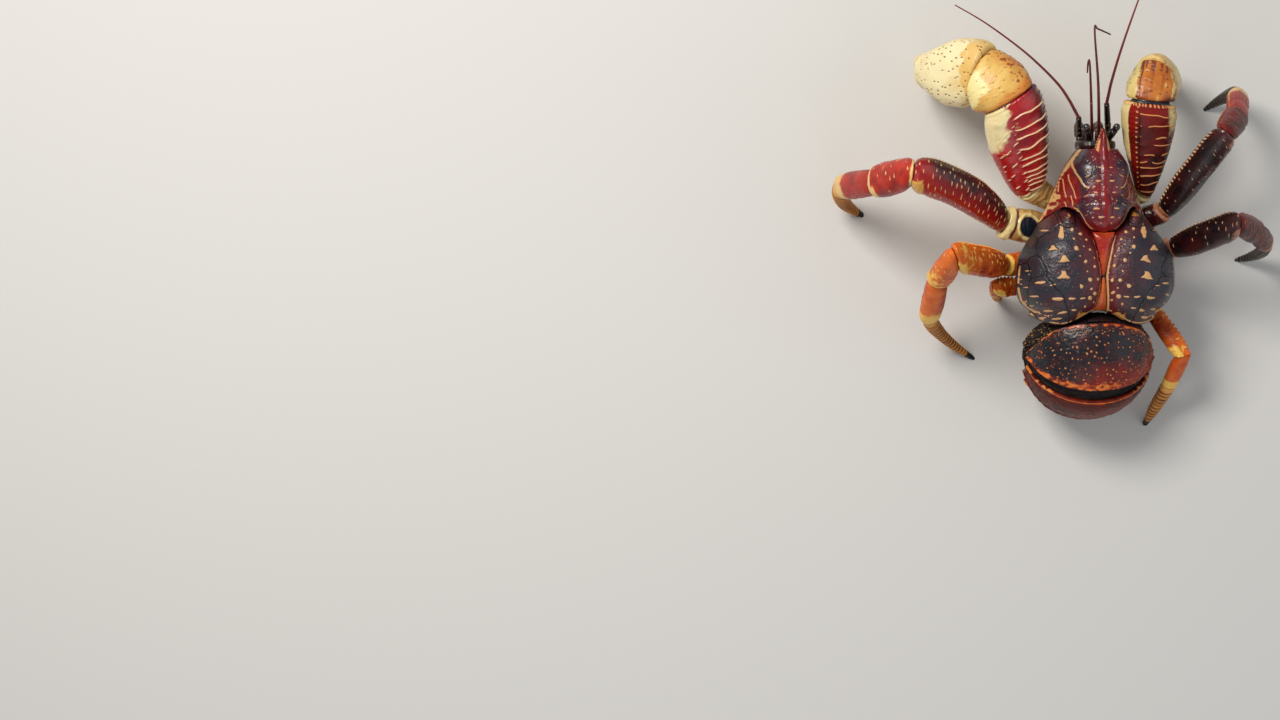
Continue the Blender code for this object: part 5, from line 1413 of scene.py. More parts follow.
# %% Claw shapes
CLAW_ISCHIUM_SHAPE = [(0.0, 0.62), (0.5, 0.85), (0.9, 1.0), (1.0, 0.92)]
CLAWS = {
    "cheliped_left": {
        "joints": [(17, -18, 43), (41.3, -31, 58.5), (63.3, -90.2, 96), (80, -106.5, 90),
                   (111, -112.5, 42)],
        "merus": [(0.0, 21, 15), (0.12, 28, 21), (0.35, 36, 27), (0.62, 43, 31), (0.85, 42, 31),
                  (1.0, 36, 27)],
        "carpus": [(0.0, 36, 28), (0.5, 44, 34), (1.0, 38, 31)],
        "palm": [(0.0, 39, 29), (0.2, 47, 34), (0.42, 47, 36), (0.6, 41, 35), (0.8, 31, 31), (0.92, 25, 27),
                 (1.0, 23, 24)],
        "palm_broad": (0.1, -1, 0), "finger_tips": [(103, -114, FLOOR), (101, -108, FLOOR)],
        "ischium": (20, 14), "ischium_broad": (0.5, 0.8, 0), "merus_broad": (0.94, 0.34, 0),
        "carpus_broad": (0.55, 0.8, 0),
        "ridges": [4.5, 8.0, 12.0, 16.5, 21.0, 26.1, 30.7, 38.2, 46.0, 53.1, 62.0],
    },
    "cheliped_right": {
        "joints": [(-15, -16, 43), (-37, -26.5, 57), (-32.7, -87.2, 96), (-37, -105, 90), (-56, -104, 44)],
        "merus": [(0.0, 11, 11), (0.12, 16, 15), (0.35, 25, 20), (0.62, 33, 24), (0.88, 37, 26),
                  (1.0, 33, 23)],
        "carpus": [(0.0, 31, 22), (0.4, 34, 26), (1.0, 27, 24)],
        "palm": [(0.0, 26, 22), (0.25, 31, 26), (0.5, 30, 27), (0.8, 25, 24), (1.0, 21, 20)],
        "palm_broad": (0.35, -0.94, 0), "finger_tips": [(-58, -107, FLOOR), (-58, -101, FLOOR)],
        "ischium": (13, 12), "ischium_broad": (-0.4, 0.9, 0), "merus_broad": (1, 0.05, 0),
        "carpus_broad": (1, 0.1, 0),
        "ridges": [6.0, 12.7, 19.7, 25.8, 30.3, 35.8, 43.3, 49.0, 56.8, 65.0],
    },
}


# %% Merus and carpus of the claws
def dress_claw_merus(limb, claw, seed, left):
    """Long cream steps that run out in teeth on one edge and break into slanted dashes on the other."""
    top = upper_side(limb, -0.1, 0.3)
    lead = limb.across
    skin_grain(limb, seed, 0.05, 0.25)
    near_base = 1 - limb.place
    slope = 0.34 * near_base ** 2 + 0.2 if left else -0.5 * near_base ** 1.2
    broken = ease(lead, 0.12, 0.4) * ease(limb.noise(9.0, seed + 6), -0.9, -0.2) if left else 0.0 * lead
    gate = dash_gate(limb, 6.0, seed, low=1.3 if left else 0.72, high=1.0 if left else 0.78)
    open_edge = fall(np.abs(lead), 0.86, 0.99)
    if not left:
        open_edge = fall(lead, 0.46, 0.6) * ease(lead, -0.95, -0.8)
    step_ridges(limb, claw["ridges"], slope, 0.05, 0.95 if left else 0.7,
                lambda i: gate(i) * top * open_edge * (1 - broken), width=0.46 if left else 0.36, seed=seed,
                wander=1.5)
    end_rim = ease(limb.along, limb.length - 3.0, limb.length - 1.6)
    under = ease(-limb.up, 0.1, 0.7)
    base_rim = fall(limb.along, 1.5, 4.0)
    if left:
        ragged = limb.noise(7.0, seed + 7) + 0.7 * limb.noise(2.6, seed + 12)
        corner = ease(limb.along + 9.0 * lead, 46.0, 62.0) * ease(lead + 0.3 * ragged, 0.0, 0.7)
        patch = np.exp(-((limb.along - 62.0) / 2.2) ** 2 - ((lead - 0.28) / 0.16) ** 2)
        gate = broken * top * (1 - corner) * fall(lead, 0.8, 0.95)
        dash_field(limb, 6.4, 0.72, 3.1, 0.9, 0.92, seed + 8, gate, lean=-0.35)
        edge_teeth(limb, -1, 4.3, 1.4, start=0.04, end=0.97, width=0.36, mark=1.0)
        edge_teeth(limb, 1, 4.6, 0.5, start=0.1, end=0.6, mark=0.8)
        limb.masks["pale"] = clamp(np.maximum(corner - 0.9 * patch, 0.8 * under) + 0.7 * base_rim)
        # Painted reflection: the trailing side falls to the dark purple deep colour, a sheen on the gloss.
        limb.masks["tone"] = clamp(0.78 + 0.3 * limb.noise(12.0, seed + 3) - 0.75 * ease(-lead, 0.35, 0.95)
                                   + 0.25 * ease(lead, 0.2, 0.8))
        spot = ((limb.along - limb.length + 6.0) / 2.0) ** 2 + ((lead + 0.62) / 0.16) ** 2
        limb.masks["pit"] = 0.5 * np.exp(-spot)
        limb.masks["mark"] = limb.masks["mark"] * (1 - 0.75 * corner)
    else:
        flange = ease(lead, 0.84, 0.9) * ease(limb.place, 0.25, 0.5)
        strip = ease(lead, 0.56, 0.64) * (1 - flange)
        phase = limb.along + 5.0 * lead + 0.8 * limb.noise(5.0, seed + 13)
        scallop = clamp(wave(phase, 3.8))
        bead = bell(lead, 0.62, 0.05) * top
        limb.raise_by(0.8 * flange + (0.6 * bead + 0.2 * strip) * scallop, 0.85 * bead * scallop)
        bare = ease(-lead, 0.35, 0.7) * ease(limb.place, 0.6, 0.85)
        edge_teeth(limb, -1, 4.4, 0.6, start=0.1, end=0.9, mark=0.6)
        limb.masks["pale"] = clamp(np.maximum(flange, 0.6 * under) + 0.6 * bare + 0.5 * base_rim)
        limb.masks["tone"] = clamp(0.28 + 0.6 * ease(limb.place, 0.5, 1.0)
                                   + 0.3 * limb.noise(10.0, seed + 3) + 0.4 * strip)
        limb.masks["pit"] = 0.9 * bell(lead, 0.5, 0.04) * top * fall(limb.place, 0.8, 0.97)
    teeth = 0.5 + 0.5 * np.cos(limb.arc * 2 * np.pi / 2.1 + 2.0 * limb.noise(3.0, seed + 9))
    limb.raise_by(0.7 * end_rim * teeth, (0.35 if left else 0.9) * end_rim * teeth)


def dress_claw_carpus(limb, seed, left):
    """A rounded block, golden with slanted specks, that is darker towards the merus."""
    skin_grain(limb, seed, 0.06, 0.4)
    lead = limb.across
    outward = limb.up > -0.4
    _, number, du, dw = cells(limb.along + 0.4 * limb.arc, limb.arc, 3.9, seed, 0.6)
    slant = du - 0.4 * dw - (0.5 if left else 0.1) * dw
    speck = clamp(1 - (slant / 0.42) ** 2 - (dw / (0.7 + 0.8 * number)) ** 2)
    speck = speck * (number > 0.3) * outward
    limb.raise_by(-0.2 * speck, 0.8 * speck, "pit")
    limb.raise_by(0.25 * bell(slant, 0.9, 0.5) * (np.abs(dw) < 1.4) * outward)
    # Darker towards the merus.
    near_merus = fall(limb.along, 1.0, 7.0)
    blotch = limb.noise(6.0, seed + 3)
    if left:
        lobe = ease(lead, -0.05, 0.45) * ease(limb.place, 0.3, 0.62)
        limb.masks["pale"] = clamp(0.95 * lobe + 0.3 * blotch * ease(lead, -0.3, 0.3))
        edge = ease(-lead + 0.35 * blotch, 0.25, 0.8)
        limb.masks["mark"] = 0.75 * edge * ease(limb.noise(1.9, seed + 5), 0.15, 0.4)
        limb.masks["tone"] = clamp(0.85 + 0.5 * blotch - 0.9 * near_merus - 0.45 * edge)
    else:
        strip = ease(lead + 0.14 * blotch, 0.68, 0.82)
        limb.raise_by(0.6 * strip * (0.6 + 0.4 * limb.noise(2.2, seed + 6)))
        streak = grain_noise(np.stack((limb.along / 5.0, limb.arc), -1), 1.7, seed + 8)
        limb.masks["pale"] = clamp(0.95 * strip + 0.45 * ease(-lead + 0.3 * blotch, 0.6, 1.0)
                                   + 0.5 * ease(streak, 0.2, 0.7))
        limb.raise_by(0.18 * streak * outward)
        seam = bell(lead + 0.12 * blotch, 0.66, 0.05)
        limb.cover("pit", 0.7 * seam)
        far_streaks = ease(-streak, 0.15, 0.5) * ease(limb.place, 0.3, 0.8)
        limb.masks["mark"] = np.maximum(0.6 * ease(-lead - 0.2, 0.0, 0.5) * near_merus, 0.5 * far_streaks)
        limb.masks["tone"] = clamp(0.55 + 0.6 * blotch - 0.35 * near_merus - 0.4 * ease(-streak, 0.1, 0.6))
    limb.masks["mark"] = limb.masks["mark"] * outward


def make_claw_arm(name, claw, seed):
    left = name.endswith("left")
    joints, planes = claw["joints"], joint_planes(claw["joints"])
    ischium = Limb(joints[0], joints[1], planes[0], planes[1], scaled(CLAW_ISCHIUM_SHAPE, *claw["ischium"]),
                   claw["ischium_broad"], 60, 84, gaps=(0.0, JOINT_GAP), tuck=(0.0, TUCK))
    dress_ischium(ischium, seed)
    ischium.finish(f"{name}_ischium_shell", "joint", [f"{name}_ischium"])
    merus = Limb(joints[1], joints[2], planes[1], planes[2], claw["merus"], claw["merus_broad"], 250, 132,
                 tuck=(1.5, 2.0), cut=(0.0, 0.0 if left else 0.6))
    dress_claw_merus(merus, claw, seed + 10, left)
    merus.finish(f"{name}_merus_shell", "claw_merus" if left else "claw_dark", [f"{name}_merus"])
    carpus = Limb(joints[2], joints[3], planes[2], planes[3], claw["carpus"], claw["carpus_broad"], 110,
                  120, tuck=(2.2, 2.2), cut=(0.0 if left else 1.2, 0.0))
    dress_claw_carpus(carpus, seed + 20, left)
    carpus.finish(f"{name}_carpus_shell", "claw_carpus" if left else "claw_brown", [f"{name}_carpus"])
    joint_skin(f"{name}_joint_1", joints[1], planes[1], claw["ischium_broad"], claw["ischium"][0] * 0.92,
               claw["ischium"][1] * 0.92, slot_of[f"{name}_merus"])
    joint_skin(f"{name}_joint_2", joints[2], planes[2], claw["carpus_broad"], claw["carpus"][0][1],
               claw["carpus"][0][2], slot_of[f"{name}_merus"], reach=4.0, share=0.86)
    joint_skin(f"{name}_joint_3", joints[3], planes[3], claw["palm_broad"], claw["carpus"][-1][1] * 0.95,
               claw["carpus"][-1][2] * 0.95, slot_of[f"{name}_merus"], reach=3.0, share=0.8)
    return planes[3]


# %% [markdown]
# ## Palm and fingers
#
# The palm's tube and the fixed finger's tube are joined and remeshed into one skin, which rounds
# the step between them as on the real claw. The masks are then worked out from each point's
# place: brown pits in rows over the cream palm, and dark horn on the finger tips.

# %% Palm and fingers
PALM_VOXEL, FINGER_VOXEL = 0.62, 0.5
FINGER_SECTIONS = [(0.0, 1.0, 1.0), (0.25, 1.02, 0.88), (0.5, 0.92, 0.72), (0.75, 0.66, 0.5),
                   (1.0, 0.28, 0.24)]


def raw_tube(name, points):
    rows, columns = points.shape[:2]
    faces = grid_faces(rows, columns, True)
    faces.append(list(range(columns))[::-1])
    faces.append([(rows - 1) * columns + i for i in range(columns)])
    mesh = bpy.data.meshes.new(name)
    mesh.from_pydata((points.reshape(-1, 3) * MM + HOME).tolist(), [], faces)
    shaper = bmesh.new()
    shaper.from_mesh(mesh)
    bmesh.ops.recalc_face_normals(shaper, faces=shaper.faces)
    shaper.to_mesh(mesh)
    shaper.free()
    made = bpy.data.objects.new(name, mesh)
    bpy.context.scene.collection.objects.link(made)
    return made


def remesh(made, voxel, smooth_steps):
    """Join a piece's closed parts into one even skin, and smooth it."""
    bpy.ops.object.select_all(action="DESELECT")
    made.select_set(True)
    bpy.context.view_layer.objects.active = made
    step = made.modifiers.new("remesh", "REMESH")
    step.mode = "VOXEL"
    step.voxel_size = voxel * MM
    bpy.ops.object.modifier_apply(modifier=step.name)
    if smooth_steps:
        step = made.modifiers.new("smooth", "SMOOTH")
        step.factor = 0.5
        step.iterations = smooth_steps
        bpy.ops.object.modifier_apply(modifier=step.name)
    made.select_set(False)
    return made


def sculpt(made, name, carve, finish, nodes):
    """Move each point of a skin along its normal, and write its masks. Carve reads millimetres."""
    mesh = made.data
    count = len(mesh.vertices)
    places, normals = np.empty(count * 3), np.empty(count * 3)
    mesh.vertices.foreach_get("co", places)
    mesh.vertices.foreach_get("normal", normals)
    places, normals = places.reshape(-1, 3), normals.reshape(-1, 3)
    points = (places - HOME) / MM
    height, masks = carve(points, normals)
    places = places + normals * (height * MM)[:, None]
    places = np.clip(places, *cad_box)
    mesh.vertices.foreach_set("co", places.ravel())
    for key in MASKS:
        masks.setdefault(key, np.zeros(count))
    set_masks(mesh, {key: clamp(value) for key, value in masks.items()})
    made.name = name
    mesh.name = name
    mesh.materials.clear()
    mesh.materials.append(FINISH[finish])
    mesh.shade_smooth()
    mesh.update()
    declare(made, nodes)
    return made


def ring_stack(centres, broad, thick, half_broad, half_thick, columns=72, squareness=2.4):
    angle = 2 * np.pi * np.arange(columns) / columns
    across = signed_power(np.sin(angle), 2 / squareness)
    upward = signed_power(np.cos(angle), 2 / squareness)
    return (centres[:, None, :] + broad * (half_broad[:, None] * across)[..., None]
            + thick * (half_thick[:, None] * upward)[..., None])


def finger_tube(claw, base, tip, broad, thick, direction, lift, apart, columns=72):
    breadth, thickness = claw["palm"][-1][1], claw["palm"][-1][2]
    place = np.linspace(0, 1, 60)
    bend = 4 * place * (1 - place)
    centres = base + (tip - base) * place[:, None]
    centres = centres + thick * (bend * 3.0)[:, None] + broad * (bend * apart)[:, None]
    half_broad = breadth * 0.235 * curve_through(column(FINGER_SECTIONS, 1), place)
    half_thick = thickness * 0.42 * curve_through(column(FINGER_SECTIONS, 2), place)
    points = ring_stack(centres, broad, thick, half_broad, half_thick, columns)
    points[0] += direction * lift
    way = unit(tip - base)
    level = points[-1] + way * (-points[-1][:, 2:3] / way[2])
    points[-1] = level
    return points


def make_claw_hand(name, claw, face, seed):
    start, end = np.array(claw["joints"][3], float), np.array(claw["joints"][4], float)
    length = np.linalg.norm(end - start)
    direction = unit(end - start)
    broad, thick = side_axes(direction, claw["palm_broad"])
    place = np.linspace(0, 1, 110)
    half_broad = curve_through(column(claw["palm"], 1), place) / 2
    half_thick = curve_through(column(claw["palm"], 2), place) / 2
    shrink = 1 - round_edges(place * length, 2.2, 0.2) - round_edges((1 - place) * length, 3.0, 0.3)
    rings = ring_stack(np.zeros((len(place), 3)), broad, thick, half_broad * shrink, half_thick * shrink)
    near = (JOINT_GAP - rings @ face) / np.dot(direction, face)
    rings = start + direction * (near + (length - near) * place[:, None])[..., None] + rings
    breadth = claw["palm"][-1][1]
    bases = [end + broad * (breadth * 0.25), end - broad * (breadth * 0.25)]
    tips = [np.array(tip, float) for tip in claw["finger_tips"]]
    palm = raw_tube(f"{name}_palm_shell", rings)
    fixed_points = finger_tube(claw, bases[1] - direction * 6.0, tips[1], broad, thick, direction, 0.0,
                               -1.5)
    fixed = raw_tube("fixed_finger", fixed_points)
    bpy.ops.object.select_all(action="DESELECT")
    fixed.select_set(True)
    palm.select_set(True)
    bpy.context.view_layer.objects.active = palm
    bpy.ops.object.join()
    remesh(palm, PALM_VOXEL, 6)

    def carve(points, normals):
        offset = points - start
        along = offset @ direction
        u = offset @ broad
        v = offset @ thick
        turn = np.arctan2(u, v) * (breadth * 0.5)
        outer = normals @ thick
        _, number, da, db = cells(along, turn + 0.35 * along, 3.9, seed, 0.85)
        stretch = clamp(1 - (da / (1.1 + 0.9 * number)) ** 2 - ((db - 0.35 * da) / 0.52) ** 2)
        stretch = stretch * (number > 0.25) * ease(outer, -0.7, -0.3)
        on_palm = ease(-along, -length - 4.0, -length + 4.0)
        masks = {"pit": 0.8 * stretch * on_palm}
        masks["tone"] = clamp(0.25 + 0.7 * ease(outer, -0.3, 0.7)
                              + 0.35 * grain_noise(points, 9.0, seed + 1) - 0.25 * ease(-along, -14.0, 0.0))
        wrist_reach = 20.0 if name.endswith("right") else 8.0
        near_wrist = ease(-along + 4.0 * grain_noise(points, 5.0, seed + 9), -wrist_reach,
                          2.0 - 0.4 * wrist_reach)
        masks["pale"] = 0.75 * near_wrist * ease(outer, -0.4, 0.6)
        masks["mark"] = fall(points[:, 2], 2.5, 5.5)
        height = 0.07 * grain_noise(points, 1.2, seed + 2) + 0.35 * grain_noise(points, 9.0, seed + 3)
        height = height - 0.35 * stretch * on_palm + 0.12 * grain_noise(points, 3.0, seed + 8)
        inner_side = ease(normals @ broad, 0.4, 0.9) * ease(along, length + 1.0, length + 5.0)
        teeth = clamp(np.cos(2 * np.pi * along / 5.2 + 0.6)) ** 1.5
        height = height + 1.0 * inner_side * teeth
        height = height * ease(points[:, 2], 0.3, 2.5)
        return height, masks

    sculpt(palm, f"{name}_palm_shell", carve, "claw_palm", [f"{name}_palm"])
    moving_points = finger_tube(claw, bases[0], tips[0], broad, thick, direction, 0.3, 1.5)
    moving = raw_tube(f"{name}_finger", moving_points)
    remesh(moving, FINGER_VOXEL, 3)

    def carve_moving(points, normals):
        offset = points - start
        along = offset @ direction
        distance, number = cells(along, offset @ thick, 3.0, seed + 5)[:2]
        dots = round_bump(distance, 0.7) * (number > 0.5) * ease(points[:, 2], 8.0, 14.0)
        masks = {"pit": 0.9 * dots, "mark": fall(points[:, 2], 2.5, 5.5)}
        masks["tone"] = clamp(0.7 + 0.4 * grain_noise(points, 8.0, seed + 6))
        height = 0.07 * grain_noise(points, 1.2, seed + 7) - 0.2 * dots
        facing = ease(-(normals @ broad), 0.4, 0.9)
        teeth = clamp(np.cos(2 * np.pi * along / 5.2 + 3.7)) ** 1.5
        height = height + 0.8 * facing * teeth * ease(along, length + 3.0, length + 7.0)
        return height * ease(points[:, 2], 0.3, 2.5), masks

    sculpt(moving, f"{name}_finger", carve_moving, "claw_palm", [f"{name}_dactyl"])


for number, (claw_name, claw) in enumerate(CLAWS.items()):
    hand_face = make_claw_arm(claw_name, claw, 400 + 60 * number)
    make_claw_hand(claw_name, claw, hand_face, 440 + 60 * number)
print("with claws", len(piece_report))

# %% [markdown]
# ## The abdomen
#
# The abdomen is a fat soft bag tucked under the body, with broad plates over its back. Every
# point on it is found from a pitch, the way round the side view, and a yaw, the way across. The
# plates lie on that surface, and the skin lies three millimetres under it.

# %% Abdomen surface
ABDOMEN_Y, ABDOMEN_Z = 80.0, 45.0
ABDOMEN_HALF_WIDTH = 45.0
SKIN_DEPTH = 3.0
PLATE_THICKNESS = 2.7
SIDE_STEP = 76.0 / 7
REAR_FLARE = 0.6
ABDOMEN_RADIUS = [(-105, 39), (-90, 41), (-63, 45), (-35, 48), (0, 49), (25, 48.5), (51, 45.5), (70, 45.5),
                  (90, 47), (112, 49), (122, 46), (140, 35), (160, 28.5), (180, 26.7), (200, 26.5),
                  (225, 28), (245, 35), (255, 39)]


def abdomen_raw(pitch, yaw):
    """A point on the abdomen's outer surface, for angles in degrees."""
    radius = curve_through(ABDOMEN_RADIUS, pitch)
    turn, side = np.radians(pitch), np.radians(yaw)
    outward = radius * np.cos(side) ** 0.85
    return np.stack((ABDOMEN_HALF_WIDTH * np.sin(side) + 0 * turn, ABDOMEN_Y + outward * np.cos(turn),
                     ABDOMEN_Z + outward * np.sin(turn)), -1)


def abdomen_point(pitch, yaw, offset=0.0):
    """The same, moved out along the surface's own normal."""
    point = abdomen_raw(pitch, yaw)
    step = 0.4
    along = abdomen_raw(pitch + step, yaw) - abdomen_raw(pitch - step, yaw)
    across = abdomen_raw(pitch, yaw + step) - abdomen_raw(pitch, yaw - step)
    normal = np.cross(across, along)
    normal = normal / np.maximum(np.linalg.norm(normal, axis=-1, keepdims=True), 1e-9)
    outward = point - np.array([0.0, ABDOMEN_Y, ABDOMEN_Z])
    normal = normal * np.sign((normal * outward).sum(-1, keepdims=True))
    return point + normal * np.asarray(offset)[..., None]


# %% [markdown]
# ## Abdomen plates
#
# Each plate has fine dashes along its front, scattered cream dots behind them, a cream frill
# along both side edges and a raised orange rear edge. Behind the largest plate is a dark gap
# before the next one.

# %% Plates of the abdomen
TERGITES = {
    "tergite_1": {"rear": 113.7, "front": 117.2, "reach": 1, "rear_end": 0.0, "front_end": 0.0, "rows": 24},
    "tergite_2": {"rear": 52.0, "front": 113.0, "reach": 7, "rear_end": 14.0, "front_end": -29.0,
                  "rows": 160},
    "tergite_3": {"rear": 0.0, "front": 39.0, "reach": 7, "rear_end": 4.0, "front_end": -3.0, "rows": 96},
    "tergite_4": {"rear": -32.0, "front": -5.0, "reach": 6, "rear_end": 8.0, "front_end": -3.0, "rows": 64},
    "tergite_5": {"rear": -60.0, "front": -37.0, "reach": 5, "rear_end": 8.0, "front_end": -4.0,
                  "rows": 56},
    "tail": {"rear": -100.0, "front": -65.0, "reach": 3, "rear_end": 10.0, "front_end": -6.0, "rows": 80},
}


def make_tergite(name, plate, seed):
    columns = 60 + 26 * plate["reach"]
    widest = plate["reach"] * SIDE_STEP
    yaw = np.linspace(-widest, widest, columns)[None, :] + np.zeros((plate["rows"], 1))
    share = np.linspace(0, 1, plate["rows"])[:, None] + 0 * yaw
    bend = np.abs(yaw / widest) ** 4
    rear = plate["rear"] + plate["rear_end"] * bend
    front = plate["front"] + plate["front_end"] * bend
    pitch = rear + (front - rear) * share
    place = abdomen_point(pitch, yaw)
    radius = curve_through(ABDOMEN_RADIUS, pitch)
    along = (front - pitch) * np.pi / 180 * radius
    to_rear = (pitch - rear) * np.pi / 180 * radius
    across = np.radians(yaw) * ABDOMEN_HALF_WIDTH
    to_side = np.radians(widest - np.abs(yaw)) * ABDOMEN_HALF_WIDTH
    masks = blank(yaw)
    spot = np.stack((across, along), -1)
    height = REAR_FLARE * fall(share, 0.02, 0.16)
    if name == "tergite_1":
        masks["tone"] = np.full_like(yaw, 0.08)
    else:
        big = 1.0 if name == "tergite_2" else 0.35
        centre_gate = ease(to_side, 5.0, 12.0)
        distance, number = cells(across, along, 3.7, seed, 0.8)[:2]
        dots = round_bump(distance, 0.4 + 0.65 * number ** 2) * (number > 0.2)
        dots = dots * ease(along, 4.0, 7.0) * ease(to_rear, 2.5, 4.0) * centre_gate
        height = height + (0.2 + 0.22 * big) * np.sqrt(dots)
        mark = (0.2 + 0.7 * big) * dots * ease(number, 0.2, 0.6)
        distance, number, da, db = cells(across, along * 2.4, 3.1, seed + 3)
        dashes = clamp(1 - (da / (0.5 + 1.5 * number)) ** 2 - (db / 0.8) ** 2) * (number > 0.45)
        bands = fall(along, 6.0, 9.0) * ease(along, 0.8, 1.6) + fall(to_rear, 5.0, 9.0)
        dashes = dashes * bands * centre_gate * (0.4 + 0.6 * big)
        height = height + 0.3 * np.sqrt(dashes)
        mark = np.maximum(mark, 0.7 * dashes)
        fleck = grain_noise(spot, 3.0, seed + 4)
        front_band = ease(-along + 1.2 * fleck, -4.0, -1.5) * ease(fleck, -0.7, 0.2)
        wide = 6.5 if name == "tergite_2" else 2.6
        rear_band = ease(-to_rear + fleck, -wide, -0.6 * wide)
        # Painted light: tone rises on the lit side; on the big plate the other side is a slate sheen.
        lit = ease(-across, -25.0, 30.0)
        behind = fall(to_rear, 6.0, 26.0) * ease(-across, -22.0, 6.0)
        masks["tone"] = clamp(0.75 - 0.72 * big + 0.35 * lit * grain_noise(spot, 8.0, seed + 5)
                              + 0.75 * behind + 0.4 * front_band + 0.15 * lit + 0.5 * rear_band)
        shoulder = fall(along, 1.2, 2.6) * ease(np.abs(across), 0.42 * to_side.max(), 0.6 * to_side.max())
        fade = ease(across, -26.0, -8.0) if name == "tergite_2" else 0.3
        band = rear_band * (0.55 + 0.75 * fleck) * ease(to_rear, 0.4, 1.0) * fade
        patchy = (ease(fleck, 0.15, 0.6) * ease(-to_rear, -wide, -0.7 * wide) * ease(to_rear, 0.8, 1.6)
                  * fade)
        mark = np.maximum(mark, 0.75 * patchy)
        line = bell(along, 1.4, 0.7) * (0.0 if name == "tergite_2" else 0.8)
        front_patch = 0.6 * front_band * ease(along, 0.6, 1.8) * big
        masks["pale"] = clamp(np.maximum(np.maximum(front_patch, line), band))
        mark = np.maximum(mark, 0.8 * shoulder * ease(fleck, -0.5, 0.2))
        ruffle = 0.5 + 0.5 * wave(along + 0.6 * grain_noise(spot, 3.0, seed + 6), 2.6)
        side = fall(to_side, 1.2, 5.0)
        height = height + 0.9 * side * ruffle
        mark = np.maximum(mark, 0.45 * side * ruffle)
        wrinkle = grain_noise(np.stack((across / 2.6, along), -1), 1.6, seed + 7)
        height = height + 0.14 * wrinkle * ease(across ** 2, 60.0, 700.0)
        height = height + 0.22 * grain_noise(spot, 7.0, seed + 8)
        height = height + 0.3 * fall(to_rear, 0.8, 1.6) - 0.25 * bell(to_rear, wide, 0.7)
        height = height + 0.12 * grain_noise(spot, 2.0, seed + 11)
        pits = round_bump(distance, 0.5) * (number < 0.25)
        dark_lip = bell(to_rear, 0.0, 0.5)
        masks["pit"] = clamp(0.6 * dark_lip + 0.5 * pits)
        masks["mark"] = mark
    height = height + 0.06 * grain_noise(spot, 1.0, seed + 9)
    edge = np.minimum(np.minimum(to_side, to_rear), along)
    top = abdomen_point(pitch, yaw, height - round_edges(edge, 1.1, 0.9))
    under = abdomen_point(pitch, yaw, np.full_like(yaw, -PLATE_THICKNESS))
    top[..., 2] = np.maximum(top[..., 2], 0.1)
    under[..., 2] = np.maximum(under[..., 2], 0.4)
    finish = "tergite_big" if name == "tergite_2" else "tergite"
    close_plate(f"{name}_shell", top, under, masks, finish, name)
    return place


def close_plate(name, top, under, masks, finish, node):
    """Join an upper and an under grid of the same size round their border."""
    rows, columns = top.shape[:2]
    count = rows * columns
    index = np.arange(count).reshape(rows, columns)
    border = np.concatenate((index[0, :-1], index[:-1, -1], index[-1, :0:-1], index[:0:-1, 0]))
    faces = grid_faces(rows, columns, False)
    faces += [face[::-1] for face in grid_faces(rows, columns, False, count)]
    following = np.roll(border, -1)
    faces += np.stack((border, border + count, following + count, following), -1).tolist()
    points = np.concatenate((top.reshape(-1, 3), under.reshape(-1, 3)))
    both = {}
    for key, value in masks.items():
        both[key] = np.concatenate((value.ravel(), value.ravel() * (key != "mark")))
    return add_piece(name, points, faces, both, finish, [node])


for number, (name, plate) in enumerate(TERGITES.items()):
    make_tergite(name, plate, 700 + 20 * number)
print("with abdomen plates", len(piece_report))


# %% [markdown]
# ## Abdomen skin
#
# The skin is dark and leathery. It wrinkles round the sides between the plates, and small
# cream granules are scattered over it, densest beside the big plate.

# %% Abdomen skin
BODY_REAR = 53.3


def abdomen_front(x, z):
    """How far forward the skin may reach: the body's rear, or the carapace's rear edge above it."""
    share = ease(z, 44.0, 52.0)
    return BODY_REAR * (1 - share) + (CARAPACE_REAR + rear_bend(np.abs(x)) + 0.6) * share


def make_skin():
    rows, columns = 380, 150
    pitch = (np.arange(rows) * 360.0 / rows - 105.0)[:, None] + np.zeros((1, columns))
    yaw = (89.0 * np.sin(np.linspace(-np.pi / 2, np.pi / 2, columns)))[None, :] + 0 * pitch
    radius = curve_through(ABDOMEN_RADIUS, pitch)
    along = np.radians(pitch) * radius
    across = np.radians(yaw) * ABDOMEN_HALF_WIDTH
    spot = np.stack((across, along), -1)
    covered = np.zeros_like(yaw)
    for plate in TERGITES.values():
        widest = plate["reach"] * SIDE_STEP
        bend = clamp(np.abs(yaw / widest)) ** 4
        rear = plate["rear"] + plate["rear_end"] * bend
        front = plate["front"] + plate["front_end"] * bend
        inside = ease(pitch, rear - 2, rear + 1) * ease(-pitch, -front - 2, -front + 1)
        covered = np.maximum(covered, inside * ease(-np.abs(yaw), -widest - 2.5, -widest))
    folds = wave(along + 2.0 * grain_noise(spot, 9.0, 811), 5.2)
    masks = blank(yaw)
    distance, number = cells(across, along, 2.8, 812)[:2]
    grains = round_bump(distance, 0.5 + 0.9 * number) * (number > 0.3)
    bare = 1 - covered
    wrinkles = 0.55 * folds * ease(np.abs(across), 20.0, 34.0) + 0.35 * grain_noise(spot, 2.2, 813)
    height = -SKIN_DEPTH + bare * (wrinkles + 0.55 * np.sqrt(grains) + 0.9 * grain_noise(spot, 12.0, 814))
    beside = ease(pitch, 52.0, 58.0) * ease(np.abs(across), 24.0, 30.0)
    masks["mark"] = 0.9 * grains * bare * beside * ease(number, 0.4, 0.65)
    masks["tone"] = clamp(0.5 + 0.5 * folds + 0.3 * grain_noise(spot, 6.0, 815))
    points = abdomen_point(pitch, yaw, np.minimum(height, -SKIN_DEPTH + 1.6))
    front = abdomen_front(points[..., 0], points[..., 2])
    points[..., 1] = np.maximum(points[..., 1], front)
    points[..., 2] = np.maximum(points[..., 2], 0.8)
    masks = {key: value.T for key, value in masks.items()}
    return add_piece("abdomen_bag", points.transpose(1, 0, 2), tube_faces(columns, rows), masks, "skin",
                     ["abdomen_skin"])


make_skin()
print(piece_report[-1])

# %% [markdown]
# ## The two thin rear legs
#
# The third pair of walking legs is small and bent. Each is built as two pieces, an upper part
# down to the knee and a lower part with the fine claw.

